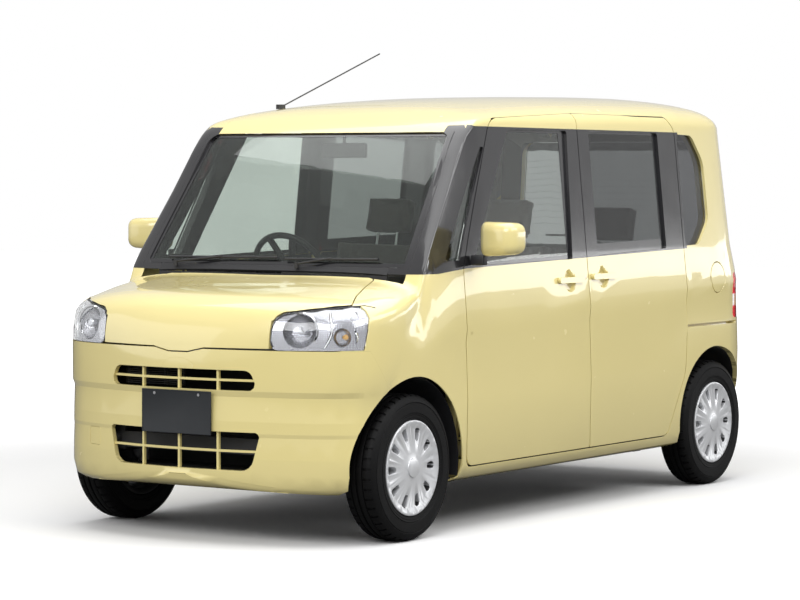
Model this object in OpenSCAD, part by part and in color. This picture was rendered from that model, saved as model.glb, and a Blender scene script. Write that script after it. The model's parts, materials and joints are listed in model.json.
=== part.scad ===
// Tall kei car, millimetres. X points to the car's left, Y to its rear, Z up.
// The origin is on the ground, midway along the car's length.

/* [Body] */
// Overall width without the mirrors
body_w = 1475; // [1440:5:1510]
// Height of the roof's highest line
roof_z = 1750; // [1720:5:1790]
// Height of the lower edge of the side windows at mid length
belt_z = 1048; // [1030:1:1065]
// Height of the upper edge of the side windows
cant_z = 1590; // [1575:1:1605]
// Height of the doors' lower edge
door_sill_z = 258; // [245:1:275]
// Height of the body's lower edge
skirt_z = 200; // [185:1:215]
// Distance from the nose to the foot of the windscreen
bonnet_l = 587; // [560:1:610]
// Height of the foot of the windscreen
screen_foot_z = 1003; // [990:1:1015]
// Horizontal run of the windscreen
screen_run = 425; // [400:1:450]
// Height of the windscreen's top edge
screen_top_z = 1577; // [1565:1:1590]

/* [Running gear] */
// Distance between the axles
wheelbase = 2490; // [2440:5:2540]
// Distance from the nose to the front axle
front_overhang = 532; // [515:1:545]
// Distance from the rear axle to the tail
rear_overhang = 373; // [360:1:390]
// Distance between the front tyres' centres
track_front = 1305; // [1285:1:1315]
// Distance between the rear tyres' centres
track_rear = 1295; // [1275:1:1310]
// Tyre outer radius
tyre_r = 281; // [272:1:286]
// Tyre width
tyre_w = 145; // [135:1:155]
// Rim flange radius
rim_r = 182; // [176:1:188]
// Radius of the wheel arches
arch_r = 338; // [334:1:342]
// Greatest steering angle each way
steer_max = 32; // [25:1:34]

/* [Panels] */
// Length of the front doors
front_door_l = 970; // [950:5:1000]
// Width of the tail lamps, seen from behind
tail_lamp_w = 147.5; // [140:0.5:155]
// Gap between neighbouring body panels
shut_gap = 5; // [5:0.5:7]
// Thickness of a door below the windows
door_t = 55; // [45:1:65]
// Thickness of the window frames
frame_t = 32; // [26:1:38]
// Thickness of the body sides
side_t = 50; // [40:1:58]
// Thickness of the roof with its lining
roof_t = 25; // [18:1:30]
// Thickness of the bonnet and its inner frame
bonnet_t = 18; // [12:1:24]
// Thickness of the bumper covers
cover_t = 18; // [12:1:20]
// Thickness of the window glass
glass_t = 5; // [4:0.5:6]
// Clearance between a seated piece and its seat
seat_gap = 0.3; // [0.2:0.05:0.4]

/* [Hidden] */
$fn = 48;

paint = "khaki";
trim = [0.1, 0.1, 0.12];
glass = [0.45, 0.55, 0.52, 0.4];
steel = "silver";
dark = [0.2, 0.2, 0.22];

half_w = body_w / 2;
body_l = front_overhang + wheelbase + rear_overhang;
nose_y = -body_l / 2;
tail_y = body_l / 2;
plate_proud = 8;
skin_nose_y = nose_y + plate_proud;
hub_front_y = nose_y + front_overhang;
hub_rear_y = hub_front_y + wheelbase;
hub_z = tyre_r;
screen_foot_y = nose_y + bonnet_l;
screen_top_y = screen_foot_y + screen_run;

// Body form
// Each row is one cross-section. Its columns are the place along the car, the bottom, the half width of
// the side, the belt height and half width, the cant rail height and half width, the sharpness of the
// top corner, and the height of the top at the centre line.
Y = 0; LOW = 1; SIDE = 2; BELT_Z = 3; BELT_W = 4; CANT_Z = 5; CANT_W = 6; SHARP = 7; TOP = 8;

// Nose: distance behind the nose, bottom, share of the full width, corner height, sharpness, top drop.
nose_rows = [
    [0, 262, 0.109, 640, 2.6, 300],
    [10, 238, 0.292, 670, 2.6, 222],
    [36, 219, 0.468, 700, 2.8, 148],
    [72, 208, 0.652, 735, 3.0, 102],
    [112, 204, 0.783, 765, 3.0, 79],
    [162, 200, 0.879, 790, 3.0, 63],
    [232, 198, 0.95, 810, 3.0, 51],
    [312, 197, 0.982, 830, 3.0, 41],
    [442, 197, 0.997, 860, 3.2, 22]
];
// Windscreen: share of the run, side inset at the cant rail, depth of the corner, sharpness.
screen_rows = [
    [0, 24, 95, 3.6],
    [0.1, 27, 70, 6],
    [0.25, 38, 62, 8],
    [0.6, 60, 60, 8],
    [1, 80, 50, 7]
];
// Roof: share of the roof's run, side inset at the cant rail, sharpness, drop from the top.
roof_rows = [
    [0.042, 79, 4.5, 118],
    [0.108, 78, 3.2, 76],
    [0.225, 77, 2.8, 44],
    [0.412, 77, 2.7, 20],
    [0.655, 77, 2.7, 6],
    [0.836, 78, 2.7, 0],
    [0.929, 82, 2.7, 4]
];
// Tail: distance ahead of the tail, bottom, insets at side, belt and cant rail, cant drop, top drop.
tail_rows = [
    [247, 200, 2, 32, 92, 0, 16],
    [177, 202, 11, 47, 112, 0, 34],
    [127, 206, 25, 69, 140, 0, 55],
    [87, 212, 47, 97, 177, 20, 88],
    [62, 220, 73, 132, 227, 60, 130],
    [42, 232, 112, 187, 300, 150, 215],
    [28, 250, 157, 262, 350, 380, 440],
    [16, 262, 200, 330, 420, 640, 720],
    [7, 272, 270, 400, 460, 955, 1045],
    [0, 288, 360, 480, 520, 1000, 1110]
];
belt_rise = 0.024;
function belt_at(y) = belt_z + belt_rise * y;

roof_run = tail_y - tail_rows[0][0] - screen_top_y;
function nose_row(r) = let (y = skin_nose_y + r[0], w = half_w * r[2])
    [y, r[1], w, r[3] - 60, w, r[3], w - 1, r[4], screen_foot_z - r[5]];
function screen_row(r) = let (y = screen_foot_y + r[0] * screen_run,
    top = screen_foot_z + r[0] * (screen_top_z - screen_foot_z),
    belt = min(belt_at(y), top - r[2] - 20))
    [y, skirt_z - 3, half_w, belt, half_w - min(22, r[1]), top - r[2], half_w - r[1], r[3], top];
function roof_row(r) = let (y = screen_top_y + r[0] * roof_run, top = roof_z - r[3])
    [y, skirt_z - 3, half_w, belt_at(y), half_w - 24, min(cant_z, top - 45), half_w - r[1], r[2], top];
function tail_row(r) = let (y = tail_y - r[0], cant = cant_z - r[5])
    [y, r[1], half_w - r[2], min(belt_at(y), cant - 60), half_w - r[3], cant, half_w - r[4], 2.8,
        roof_z - r[6]];

rows = concat(
    [for (r = nose_rows) nose_row(r)], [for (r = screen_rows) screen_row(r)],
    [for (r = roof_rows) roof_row(r)], [for (r = tail_rows) tail_row(r)]);

function mix(a, b, t) = a + (b - a) * t;
function row_index(y, i = 0) = (i >= len(rows) - 2 || rows[i + 1][Y] > y) ? i : row_index(y, i + 1);
function row_at(y) = let (i = row_index(y), a = rows[i], b = rows[i + 1], t = (y - a[Y]) / (b[Y] - a[Y]))
    [for (c = [0:TOP]) mix(a[c], b[c], t)];

// Side shape: the crease rises from the front door to the tail and fades out on the front wings.
crease_rise = 0.054;
crease_depth = 9;
top_steps = 9;
function crease_z(y) = 785 + crease_rise * y;
function crease_at(y) = crease_depth * max(0, min(1, (y - hub_front_y) / 300));
// Ahead of the front wheels a ledge runs round the bumper instead.
ledge_z = 566;
ledge_depth = 6;
ledge_low_z = 430;
function ledge_share(y) = max(0, min(1, (hub_front_y - 100 - y) / 80));

// Half of a cross-section inside the skin by d, from the bottom centre round to the top centre.
function half_section(r, d) = let (
    low = r[LOW] + d, w = r[SIDE] - d, share = ledge_share(r[Y]),
    z_crease = mix(min(crease_z(r[Y]), r[BELT_Z] - 90), ledge_z, share),
    bend = min(70, w * 0.5, (z_crease - low) * 0.45), cut = crease_at(r[Y]) + share * ledge_depth,
    wide_z = mix(mix(low, z_crease, 0.6), ledge_low_z, share),
    above_z = min(z_crease + mix(55, 19, share), r[BELT_Z] - 4))
    concat(
        [[0, low], [w * 0.5, low], [w - bend, low], [w - bend * 0.3, low + bend * 0.28],
            [w - 5, low + bend]],
        [[w - share * ledge_depth, wide_z], [w - cut, z_crease], [mix(w, r[BELT_W] - d, 0.15), above_z]],
        [[r[BELT_W] - d, r[BELT_Z]]],
        [for (i = [0:top_steps]) let (a = 90 * i / top_steps, e = 2 / r[SHARP])
            [(r[CANT_W] - d) * pow(cos(a), e), r[CANT_Z] + (r[TOP] - d - r[CANT_Z]) * pow(sin(a), e)]]);
last_k = 8 + top_steps + 1;
side_k = 2;

// Cross-sections at the ends of a stretch and at every row between them.
function stations(y0, y1) = concat([y0], [for (r = rows) if (r[Y] > y0 + 2 && r[Y] < y1 - 2) r[Y]], [y1]);
// Skin points at one section: from index k0 up to the top centre, or over to the other side.
function skin_line(y, d, k0, k1, both) = let (s = half_section(row_at(y), d), yy = y * (1 - 2 * d / body_l))
    concat([for (k = [k0:k1]) [s[k][0], yy, s[k][1]]],
        both ? [for (k = [1:k1 - k0]) [-s[k1 - k][0], yy, s[k1 - k][1]]] : []);

// The skin's half width at a height, its height at a half width, and its place at the tail on the centre line.
function skin_x(y, z) = let (s = half_section(row_at(y), 0))
    lookup(z, [for (k = [4:last_k]) [s[k][1], s[k][0]]]);
function skin_z(x, y) = let (s = half_section(row_at(y), 0))
    lookup(x, [for (k = [last_k:-1:8]) [s[k][0], s[k][1]]]);
function skin_y(z) = lookup(z, [for (i = [len(rows) - 1:-1:len(rows) - 10]) [rows[i][TOP], rows[i][Y]]]);

// A stretch of wall between two depths inside the skin.
module wall(y0, y1, d0, d1, k0 = side_k, k1 = last_k, both = false) {
    ys = stations(y0, y1);
    m = len(ys);
    n = (both ? 2 : 1) * (k1 - k0) + 1;
    points = concat([for (y = ys) each skin_line(y, d0, k0, k1, both)],
        [for (y = ys) each skin_line(y, d1, k0, k1, both)]);
    function at(layer, i, j) = (layer * m + i) * n + j;
    polyhedron(points, concat(
        [for (i = [0:m - 2], j = [0:n - 2]) each let (a = at(0, i, j), b = at(0, i, j + 1),
            c = at(0, i + 1, j + 1), e = at(0, i + 1, j)) [[a, b, c], [a, c, e]]],
        [for (i = [0:m - 2], j = [0:n - 2]) each let (a = at(1, i, j), b = at(1, i, j + 1),
            c = at(1, i + 1, j + 1), e = at(1, i + 1, j)) [[a, c, b], [a, e, c]]],
        [for (j = [0:n - 2]) each [[at(0, 0, j), at(1, 0, j), at(1, 0, j + 1)],
            [at(0, 0, j), at(1, 0, j + 1), at(0, 0, j + 1)],
            [at(0, m - 1, j), at(0, m - 1, j + 1), at(1, m - 1, j + 1)],
                [at(0, m - 1, j), at(1, m - 1, j + 1), at(1, m - 1, j)]]],
        [for (i = [0:m - 2]) each [[at(0, i, 0), at(0, i + 1, 0), at(1, i + 1, 0)],
            [at(0, i, 0), at(1, i + 1, 0), at(1, i, 0)],
            [at(0, i, n - 1), at(1, i, n - 1), at(1, i + 1, n - 1)],
                [at(0, i, n - 1), at(1, i + 1, n - 1), at(0, i + 1, n - 1)]]]));
}

// A flat end that closes the skin at the nose or the tail, going back into the car by t.
module end_cap(y, t) {
    s = half_section(row_at(y), 2);
    translate([0, max(y, y + t), 0]) rotate([90, 0, 0]) linear_extrude(abs(t))
        polygon(concat(s, [for (k = [last_k - 1:-1:1]) [-s[k][0], s[k][1]]]));
}

// Outlines
// Each corner is [across, up, radius]. The shape comes from its corners with their rounding.
function unit(v) = v / norm(v);
function rounded(corners, steps = 4) = let (n = len(corners)) [for (i = [0:n - 1]) each let (
    p = [corners[i][0], corners[i][1]], a = [corners[(i + n - 1) % n][0], corners[(i + n - 1) % n][1]],
    b = [corners[(i + 1) % n][0], corners[(i + 1) % n][1]], r = corners[i][2],
    u = unit(a - p), v = unit(b - p), half = acos(max(-1, min(1, u * v))) / 2)
    r < 1 ? [p] : let (reach = r / tan(half), mid = p + unit(u + v) * (r / sin(half)),
        from = p + u * reach - mid, to = p + v * reach - mid)
        [for (s = [0:steps]) mid + unit(mix(from, to, s / steps)) * r]];
function grown(corners, g) = let (n = len(corners)) [for (i = [0:n - 1]) let (
    p = [corners[i][0], corners[i][1]], a = [corners[(i + n - 1) % n][0], corners[(i + n - 1) % n][1]],
    b = [corners[(i + 1) % n][0], corners[(i + 1) % n][1]],
    u = unit(p - a), v = unit(b - p), nu = [u[1], -u[0]], nv = [v[1], -v[0]], m = unit(nu + nv))
    let (q = p + m * (g / (m * nu))) [q[0], q[1], max(0, corners[i][2] + g)]];

// A side outline given anticlockwise in Y and Z, cut through the left side of the car.
cut_in = half_w - 167.5;
cut_out = half_w + 162.5;
module side_prism(corners, g = 0, x0 = cut_in, x1 = cut_out)
    translate([x0, 0, 0]) rotate([90, 0, 90]) linear_extrude(x1 - x0) polygon(rounded(grown(corners, g)));
// A front outline given anticlockwise in X and Z, cut along the car.
module front_prism(corners, g = 0, y0 = nose_y - 50, y1 = -600)
    translate([0, y1, 0]) rotate([90, 0, 0]) linear_extrude(y1 - y0) polygon(rounded(grown(corners, g)));
// A plan outline given anticlockwise in X and Y, cut upwards.
module plan_prism(corners, g = 0, z0 = 100, z1 = 1900)
    translate([0, 0, z0]) linear_extrude(z1 - z0) polygon(rounded(grown(corners, g)));
module left_right() { children(); mirror([1, 0, 0]) children(); }
// A round bar from one point to another
module bar(p, q, r) translate(p) rotate([0, acos((q - p)[2] / norm(q - p)), atan2((q - p)[1], (q - p)[0])])
    cylinder(r = r, h = norm(q - p));
// A box from its lowest corner to its highest
module box(a, b) translate(a) cube(b - a);

door_front_y = hub_front_y + 370;
door_mid_y = door_front_y + front_door_l;
door_rear_y = hub_rear_y - 292;
arch_rear_y = hub_rear_y - 15;
arch_z = hub_z + 10;
door_top_z = cant_z + 60;
door_top_drop = 34;
pillar_top_y = screen_top_y + 168;
front_door_outline = [
    [door_front_y, door_sill_z, 40], [door_mid_y - shut_gap, door_sill_z, 6],
        [door_mid_y - shut_gap, door_top_z, 4],
    [pillar_top_y, door_top_z - door_top_drop, 75], [door_front_y, belt_z - 20, 10]
];
rear_door_outline = [
    [door_mid_y, door_sill_z, 6], [hub_rear_y - 470, door_sill_z, 60], [door_rear_y - 20, 520, 160],
    [door_rear_y, 700, 60], [door_rear_y, cant_z, 60], [door_rear_y - 60, door_top_z, 30],
        [door_mid_y, door_top_z, 4]
];
// The opening in the body side that both doors close
door_opening = [
    [door_front_y, door_sill_z, 28], [hub_rear_y - 470, door_sill_z, 60], [door_rear_y - 20, 520, 160],
    [door_rear_y, 700, 60], [door_rear_y, cant_z, 60], [door_rear_y - 60, door_top_z, 30],
        [door_mid_y, door_top_z, 0],
    [pillar_top_y, door_top_z - door_top_drop, 75], [door_front_y, belt_z - 20, 10]
];
front_window = [
    [door_front_y + 70, belt_z - 10, 14], [door_mid_y - 122, belt_z, 10],
        [door_mid_y - 90, cant_z - 10, 12],
    [pillar_top_y + 132, cant_z - 12, 30]
];
rear_window = [
    [door_mid_y + 92, belt_z + 10, 12], [door_rear_y - 158, belt_z + 30, 12],
        [door_rear_y - 158, cant_z - 8, 14],
    [door_mid_y + 92, cant_z - 8, 12]
];
quarter_window = [
    [door_rear_y + 24, belt_z + 38, 12], [door_rear_y + 150, belt_z + 42, 60],
        [door_rear_y + 262, belt_z + 150, 90],
    [door_rear_y + 262, cant_z - 130, 120], [door_rear_y + 165, cant_z - 14, 60],
        [door_rear_y + 24, cant_z - 10, 12]
];
corner_window = [
    [door_front_y - 128, belt_z + 14, 8], [door_front_y - 24, belt_z + 14, 8],
        [pillar_top_y - 60, cant_z - 84, 4],
    [pillar_top_y - 84, cant_z - 84, 4]
];

liner_in = half_w - 323.5;
module arches(x0 = liner_in, x1 = cut_out)
    for (y = [hub_front_y, arch_rear_y])
        translate([x0, y, arch_z]) rotate([0, 90, 0]) cylinder(r = arch_r, h = x1 - x0, $fn = 96);

// Hinges
// Each is drawn in its own frame: X out of the panel, Y into the panel from its hinged edge, Z along the pin.
hinge_in = 22;
hinge_back = 34;
pin_r = 6;
knuckle_r = 10;
knuckle_h = 44;
hinge_play = 0.05;
lug_t = 10;
lug_gap = 1;
lug_in = 60;
hinge_h = knuckle_h / 2 + lug_gap + lug_t;

module hinge_pocket(ahead = 20) {
    translate([0, 0, -hinge_h - 5]) cylinder(r = knuckle_r + 5, h = 2 * hinge_h + 10);
    translate([-80, -hinge_back - ahead, -hinge_h - 5]) cube([89, hinge_back + ahead, 2 * hinge_h + 10]);
    translate([-80, -1, -hinge_h - 5]) cube([80, 15, 2 * hinge_h + 10]);
}
module hinge_knuckle(web = 24) difference() {
    union() {
        translate([0, 0, -knuckle_h / 2]) cylinder(r = knuckle_r, h = knuckle_h);
        translate([-7, 0, -knuckle_h / 2]) cube([14, web, knuckle_h]);
    }
    translate([0, 0, -knuckle_h]) cylinder(r = pin_r + hinge_play, h = 2 * knuckle_h);
}
module hinge_lug(reach = 50, rise = 14) {
    translate([0, 0, -hinge_h]) cylinder(r = pin_r, h = 2 * hinge_h);
    for (z = [-hinge_h, hinge_h - lug_t]) translate([0, 0, z]) {
        cylinder(r = knuckle_r - 1, h = lug_t);
        translate([-lug_in + 2, -7, 0]) cube([lug_in - 2, 14, lug_t]);
    }
    translate([-lug_in, -reach, -hinge_h]) cube([14, reach + 7, 2 * hinge_h]);
    translate([-lug_in, -reach, -hinge_h]) cube([rise, 14, 2 * hinge_h]);
}
door_hinge_heights = [390, 805];
door_hinge_x = half_w - hinge_in;
module at_door_hinges(y) for (z = door_hinge_heights) translate([door_hinge_x, y + hinge_back, z])
    children();
// A hinge with its pin across the car: out is the angle of the panel's outside above the rear, way the panel's side.
module cross_hinge(x, y, z, out, way) multmatrix([
    [0, 0, -way, x], [cos(out), way * sin(out), 0, y], [sin(out), -way * cos(out), 0, z], [0, 0, 0, 1]])
        children();
gate_hinge = [tail_y - 84, roof_z - 122];
gate_hinge_x = half_w - 407.5;
gate_out = 50;
gate_edge = 45;
gate_edge_out = 28;
module at_gate_hinges() for (x = [-gate_hinge_x, gate_hinge_x])
    cross_hinge(x, gate_hinge[0], gate_hinge[1], gate_out, 1) children();
bonnet_hinge = [screen_foot_y - 62, screen_foot_z - 37];
bonnet_hinge_x = half_w - 307.5;
bonnet_out = 97;
module at_bonnet_hinges() for (x = [-bonnet_hinge_x, bonnet_hinge_x])
    cross_hinge(x, bonnet_hinge[0], bonnet_hinge[1], bonnet_out, -1) children();

// Doors
skin_t = 5;
door_step = 18;
frame_step = 10;
pillar_w = 30;
// An outline whose rear edge stops short by some distance
function shortened(outline, by) = [for (c = outline) c[0] > door_mid_y - 20 ? [c[0] - by, c[1], c[2]] : c];
module door_blank(outline, inner, y0, y1) {
    intersection() {
        wall(y0 - 20, y1 + 20, 0, skin_t, side_k, 14);
        side_prism(outline);
    }
    intersection() {
        wall(y0 - 20, y1 + 20, skin_t - 1, door_t, side_k, 9);
        side_prism(inner, -door_step);
        below_belt();
    }
    intersection() {
        wall(y0 - 20, y1 + 20, skin_t - 2, frame_t, 7, 14);
        side_prism(inner, -frame_step);
    }
}
// Everything lower than the sills of the side windows
module below_belt(drop = 8) side_prism([
    [nose_y, 100, 0], [tail_y, 100, 0], [tail_y, belt_at(tail_y) - drop, 0],
        [nose_y, belt_at(nose_y) - drop, 0]], 0, 400);
module window_hole(outline) side_prism(outline);
// A grab handle over a round hollow
handle_l = 206;
handle_h = 24;
handle_t = 13;
hollow_r = 60;
module hollow(y, z) translate([skin_x(y, z) + 36, y, z]) sphere(r = hollow_r);
module handle(y, z) translate([skin_x(y, z), y, z]) rotate([90, 0, 90]) {
    translate([0, 0, 3]) linear_extrude(handle_t) polygon(rounded([
        [-handle_l / 2, -handle_h / 2, 11], [handle_l / 2, -handle_h / 2, 11],
        [handle_l / 2, handle_h / 2, 11], [-handle_l / 2, handle_h / 2, 11]]));
    for (a = [-1, 1]) translate([a * (handle_l / 2 - 20) - 14, -8, -8]) cube([28, 16, 12]);
}
front_handle = [door_mid_y - 157, belt_z - 85];
sliding_handle = [door_mid_y + 120, belt_z - 76];
rear_handle = [door_rear_y - 150, belt_z - 64];
module front_door() color(paint) {
    difference() {
        door_blank(front_door_outline, shortened(front_door_outline, pillar_w), door_front_y, door_mid_y);
        window_hole(front_window);
        at_door_hinges(door_front_y) hinge_pocket();
        hollow(front_handle[0], front_handle[1]);
    }
    handle(front_handle[0], front_handle[1]);
    at_door_hinges(door_front_y) hinge_knuckle();
}
module rear_door(hinged) color(paint) {
    grip = hinged ? rear_handle : sliding_handle;
    difference() {
        door_blank(rear_door_outline, rear_door_outline, door_mid_y, door_rear_y);
        window_hole(rear_window);
        if (hinged) at_door_hinges(door_mid_y) hinge_pocket();
        hollow(grip[0], grip[1]);
    }
    handle(grip[0], grip[1]);
    if (hinged) at_door_hinges(door_mid_y) hinge_knuckle();
}
module pane(outline, y0, y1, depth = 12) color(glass) intersection() {
    wall(y0, y1, depth, depth + glass_t, 7, 9);
    side_prism(outline, -seat_gap);
}
module door_front_left() front_door();
module door_front_right() mirror([1, 0, 0]) front_door();
module sliding_door() rear_door(false);
module door_rear_right() mirror([1, 0, 0]) rear_door(true);
module glass_front_left() pane(front_window, door_front_y, door_mid_y);
module glass_front_right() mirror([1, 0, 0]) glass_front_left();
module sliding_door_glass() pane(rear_window, door_mid_y, door_rear_y);
module glass_rear_right() mirror([1, 0, 0]) sliding_door_glass();

// Body sides
ditch_x = half_w - 181.5;
wing_top_z = screen_foot_z + 10;
post_front_y = door_front_y - 30;
post_rear_y = door_front_y - 12;
post_in = half_w - 87.5;
post_out = half_w - 37.5;
floor_z = 200;
floor_t = 20;
module roof_zone(x) box([-x, nose_y, 1450], [x, tail_y + 10, 2000]);
module wing_region(g = 0) box([liner_in - 100, nose_y - 10, 100],
    [cut_out, door_front_y - shut_gap + g, wing_top_z + g]);
module side_shell() difference() {
    wall(screen_foot_y + 6, tail_y - 50, 0, side_t, side_k, 16);
    box([-10, nose_y, 100], [ditch_x + seat_gap, tail_y, 2000]);
    screen_hole();
    side_prism(door_opening, shut_gap, 400);
    side_prism(quarter_window);
    side_prism(corner_window);
    arches();
    wing_region(seat_gap);
    gate_zone(shut_gap);
    lamp_corner(seat_gap);
    rear_bumper_zone(seat_gap);
}
module front_post() box([post_in, post_front_y, skirt_z + 20], [post_out, post_rear_y, wing_top_z + 30]);
module middle_post() {
    intersection() {
        wall(door_mid_y - 60, door_mid_y + 10, 22, side_t + 24, side_k, 9);
        box([cut_in, door_mid_y - pillar_w - 10, skirt_z + 20], [cut_out, door_mid_y - 12, belt_z + 52]);
    }
    intersection() {
        wall(door_mid_y - 60, door_mid_y + 10, frame_t + shut_gap, side_t + 12, 7);
        box([cut_in - 10, door_mid_y - pillar_w - 10, belt_z - 40],
            [cut_out, door_mid_y - 2, door_top_z + 50]);
    }
}
// Strikers that hold the sliding door's rear edge
module strikers() for (z = [600, 720])
    box([half_w - side_t + 6, door_rear_y - door_step + seat_gap, z],
        [half_w - side_t + 26, door_rear_y + 20, z + 30]);
// The slot that the sliding door's rear arm runs in, and the cover panel over the rail
rail_slot = [
    [door_rear_y + 12, 725, 3], [hub_rear_y + 210, 725, 5], [hub_rear_y + 210, 737, 5],
        [door_rear_y + 12, 737, 3]];
rail_cover = [
    [door_rear_y + 12, 737, 0], [hub_rear_y + 210, 737, 3], [hub_rear_y + 210, 824, 14],
        [door_rear_y + 12, 821, 0]];
module rail_cuts() {
    intersection() {
        wall(door_rear_y - 20, tail_y - 100, -2, 24, side_k, 9);
        side_prism(rail_slot);
    }
    intersection() {
        wall(door_rear_y - 20, tail_y - 100, -2, groove_t, side_k, 9);
        difference() {
            side_prism(rail_cover, groove_w);
            side_prism(rail_cover);
        }
    }
}
module body_side(pillar) color(paint) {
    difference() {
        side_shell();
        if (!pillar) {
            rail_cuts();
            fuel_pocket();
        }
    }
    if (!pillar) {
        at_fuel_hinge() fuel_pin_bar();
        translate([half_w - fuel_depth - 1, fuel_y + 6, fuel_z]) rotate([0, 90, 0])
            cylinder(r = fuel_cap_r, h = 11);
    }
    if (!pillar) strikers();
    front_post();
    at_door_hinges(door_front_y) hinge_lug();
    if (pillar) {
        middle_post();
        at_door_hinges(door_mid_y) hinge_lug();
    }
}
// Fuel filler lid
fuel_y = door_rear_y + 304.5;
fuel_z = belt_z - 110;
fuel_r = 72;
fuel_depth = 38;
fuel_pin = [half_w - 17, fuel_y - fuel_r - 5];
fuel_pin_r = 2;
fuel_arm_r = 17;
fuel_arm_h = 20;
module at_fuel_hinge() translate([fuel_pin[0], fuel_pin[1], fuel_z]) children();
module fuel_pocket() {
    translate([half_w - fuel_depth, fuel_y, fuel_z]) rotate([0, 90, 0]) cylinder(r = fuel_r, h = 80);
    at_fuel_hinge() box([-fuel_depth + 17, -8, -fuel_arm_h / 2 - 8], [5, 20, fuel_arm_h / 2 + 8]);
}
fuel_cap_r = 24;
module fuel_pin_bar() translate([0, 0, -fuel_arm_h / 2 - 8.5])
    cylinder(r = fuel_pin_r, h = fuel_arm_h + 17);
module fuel_lid() color(paint) {
    intersection() {
        wall(fuel_y - 90, fuel_y + 90, 0, 4, side_k, 9);
        translate([half_w - 50, fuel_y, fuel_z]) rotate([0, 90, 0])
            cylinder(r = fuel_r - shut_gap, h = 100);
    }
    // The swan neck from the pin round the edge of the hole to the lid's back
    at_fuel_hinge() translate([0, 0, -fuel_arm_h / 2]) difference() {
        union() {
            cylinder(r = 5, h = fuel_arm_h);
            translate([-fuel_arm_r + 1, -2, 0]) cube([fuel_arm_r - 2, 4, fuel_arm_h]);
            intersection() {
                difference() {
                    cylinder(r = fuel_arm_r, h = fuel_arm_h);
                    translate([0, 0, -1]) cylinder(r = fuel_arm_r - 4, h = fuel_arm_h + 2);
                }
                translate([-30, -2, 0]) cube([37, 40, fuel_arm_h]);
            }
            translate([4, fuel_arm_r - 5, 0]) cube([4, 12, fuel_arm_h]);
        }
        translate([0, 0, -1]) cylinder(r = fuel_pin_r + fit, h = fuel_arm_h + 2);
    }
}
module body_side_left() body_side(false);
module body_side_right() mirror([1, 0, 0]) body_side(true);

// Windscreen opening, seen from the front
screen_low_z = screen_foot_z + 34;
screen_low_w = half_w - 107.5;
screen_top_w = half_w - 149.5;
screen_outline = [
    [-screen_low_w, screen_low_z, 20], [screen_low_w, screen_low_z, 20],
    [screen_top_w, screen_top_z - 14, 50], [-screen_top_w, screen_top_z - 14, 50]
];
module screen_hole(g = 0) front_prism(screen_outline, g, screen_foot_y - 60, screen_top_y + 60);

// Front wings
wing_t = 5;
module wing() color(paint) difference() {
    intersection() {
        wall(skin_nose_y + 150, door_front_y - shut_gap, 0, wing_t);
        wing_region();
    }
    arches();
    bonnet_zone(shut_gap);
    lamp_zone(seat_gap);
    bumper_zone(seat_gap);
    box([0, nose_y, 100], [half_w - 97.5, screen_foot_y, 740]);
    box([0, screen_foot_y - 4, 100], [half_w - 97.5, tail_y, wing_top_z + 90]);
}
module wing_left() wing();
module wing_right() mirror([1, 0, 0]) wing();

// Bonnet, seen from above
bonnet_side = [
    [half_w - 337.5, skin_nose_y + 78, 20], [half_w - 85.5, skin_nose_y + 194, 30],
    [half_w - 152.5, skin_nose_y + 340, 100], [half_w - 197.5, skin_nose_y + 470, 100],
    [half_w - 232.5, screen_foot_y + 2, 30]
];
bonnet_outline = concat(
    [[339.5 - half_w, nose_y - 60, 0], [half_w - 339.5, nose_y - 60, 0]], bonnet_side,
        [[0, screen_foot_y - 18, 1800]],
    [for (i = [len(bonnet_side) - 1:-1:0]) [-bonnet_side[i][0], bonnet_side[i][1], bonnet_side[i][2]]]);
bonnet_edge_z = 748;
nose_dip = 20;
// The line under the bonnet's front edge, with the dip below the emblem's place
module under_edge(g = 0) front_prism([
    [-900, 100, 0], [900, 100, 0], [900, bonnet_edge_z, 0], [120, bonnet_edge_z - 4, 40],
        [45, bonnet_edge_z - nose_dip, 40],
    [-45, bonnet_edge_z - nose_dip, 40], [-120, bonnet_edge_z - 4, 40], [-900, bonnet_edge_z, 0]], g,
        nose_y - 50, screen_foot_y + 50);
module bonnet_zone(g = 0) difference() {
    plan_prism(bonnet_outline, g, 700, 1100);
    under_edge(-g);
}
module bonnet() color(paint) {
    difference() {
        intersection() {
            wall(skin_nose_y, screen_foot_y + 20, 0, bonnet_t, 7, last_k, true);
            plan_prism(bonnet_outline, 0, 700, 1100);
        }
        under_edge(0);
        left_right() {
            lamp_zone(shut_gap);
            box([lamp_outline[0][0] - shut_gap, nose_y - 60, 700], [cut_out, lamp_back_y, 850]);
        }
        at_bonnet_hinges() hinge_pocket();
    }
    at_bonnet_hinges() hinge_knuckle();
}

// Headlamps
lamp_outline = [
    [half_w - 341.5, bonnet_edge_z - 8, 30], [cut_out, bonnet_edge_z - 6, 0], [cut_out, 915, 0],
    [half_w - 97.5, 904, 60], [half_w - 337.5, 872, 45]
];
lamp_back_y = skin_nose_y + 270;
module lamp_zone(g = 0) intersection() {
    front_prism(lamp_outline, g);
    side_prism([[nose_y - 50, 650, 0], [lamp_back_y - 50, 700, 0], [lamp_back_y + 6, 920, 0],
        [nose_y - 50, 940, 0]], g, liner_in - 100);
}
lens_t = 3.5;
lamp_depth = 90;
// Reflectors: place across, behind the nose, height and radius of each dish
reflectors = [[half_w - 232.5, 82, 815, 66], [half_w - 75.5, 179, 866, 24], [half_w - 89.5, 162, 790, 36]];
module lamp_layer(d0, d1) intersection() {
    wall(skin_nose_y + 40, lamp_back_y + 60, d0, d1, 6);
    lamp_zone();
}
module headlamps() color("silver") left_right() difference() {
    lamp_layer(1 + lens_t + seat_gap, lamp_depth);
    for (r = reflectors) translate([r[0], skin_nose_y + r[1], r[2]]) sphere(r = r[3]);
}
module headlamp_lenses() color(glass) left_right() lamp_layer(1, 1 + lens_t);

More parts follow.
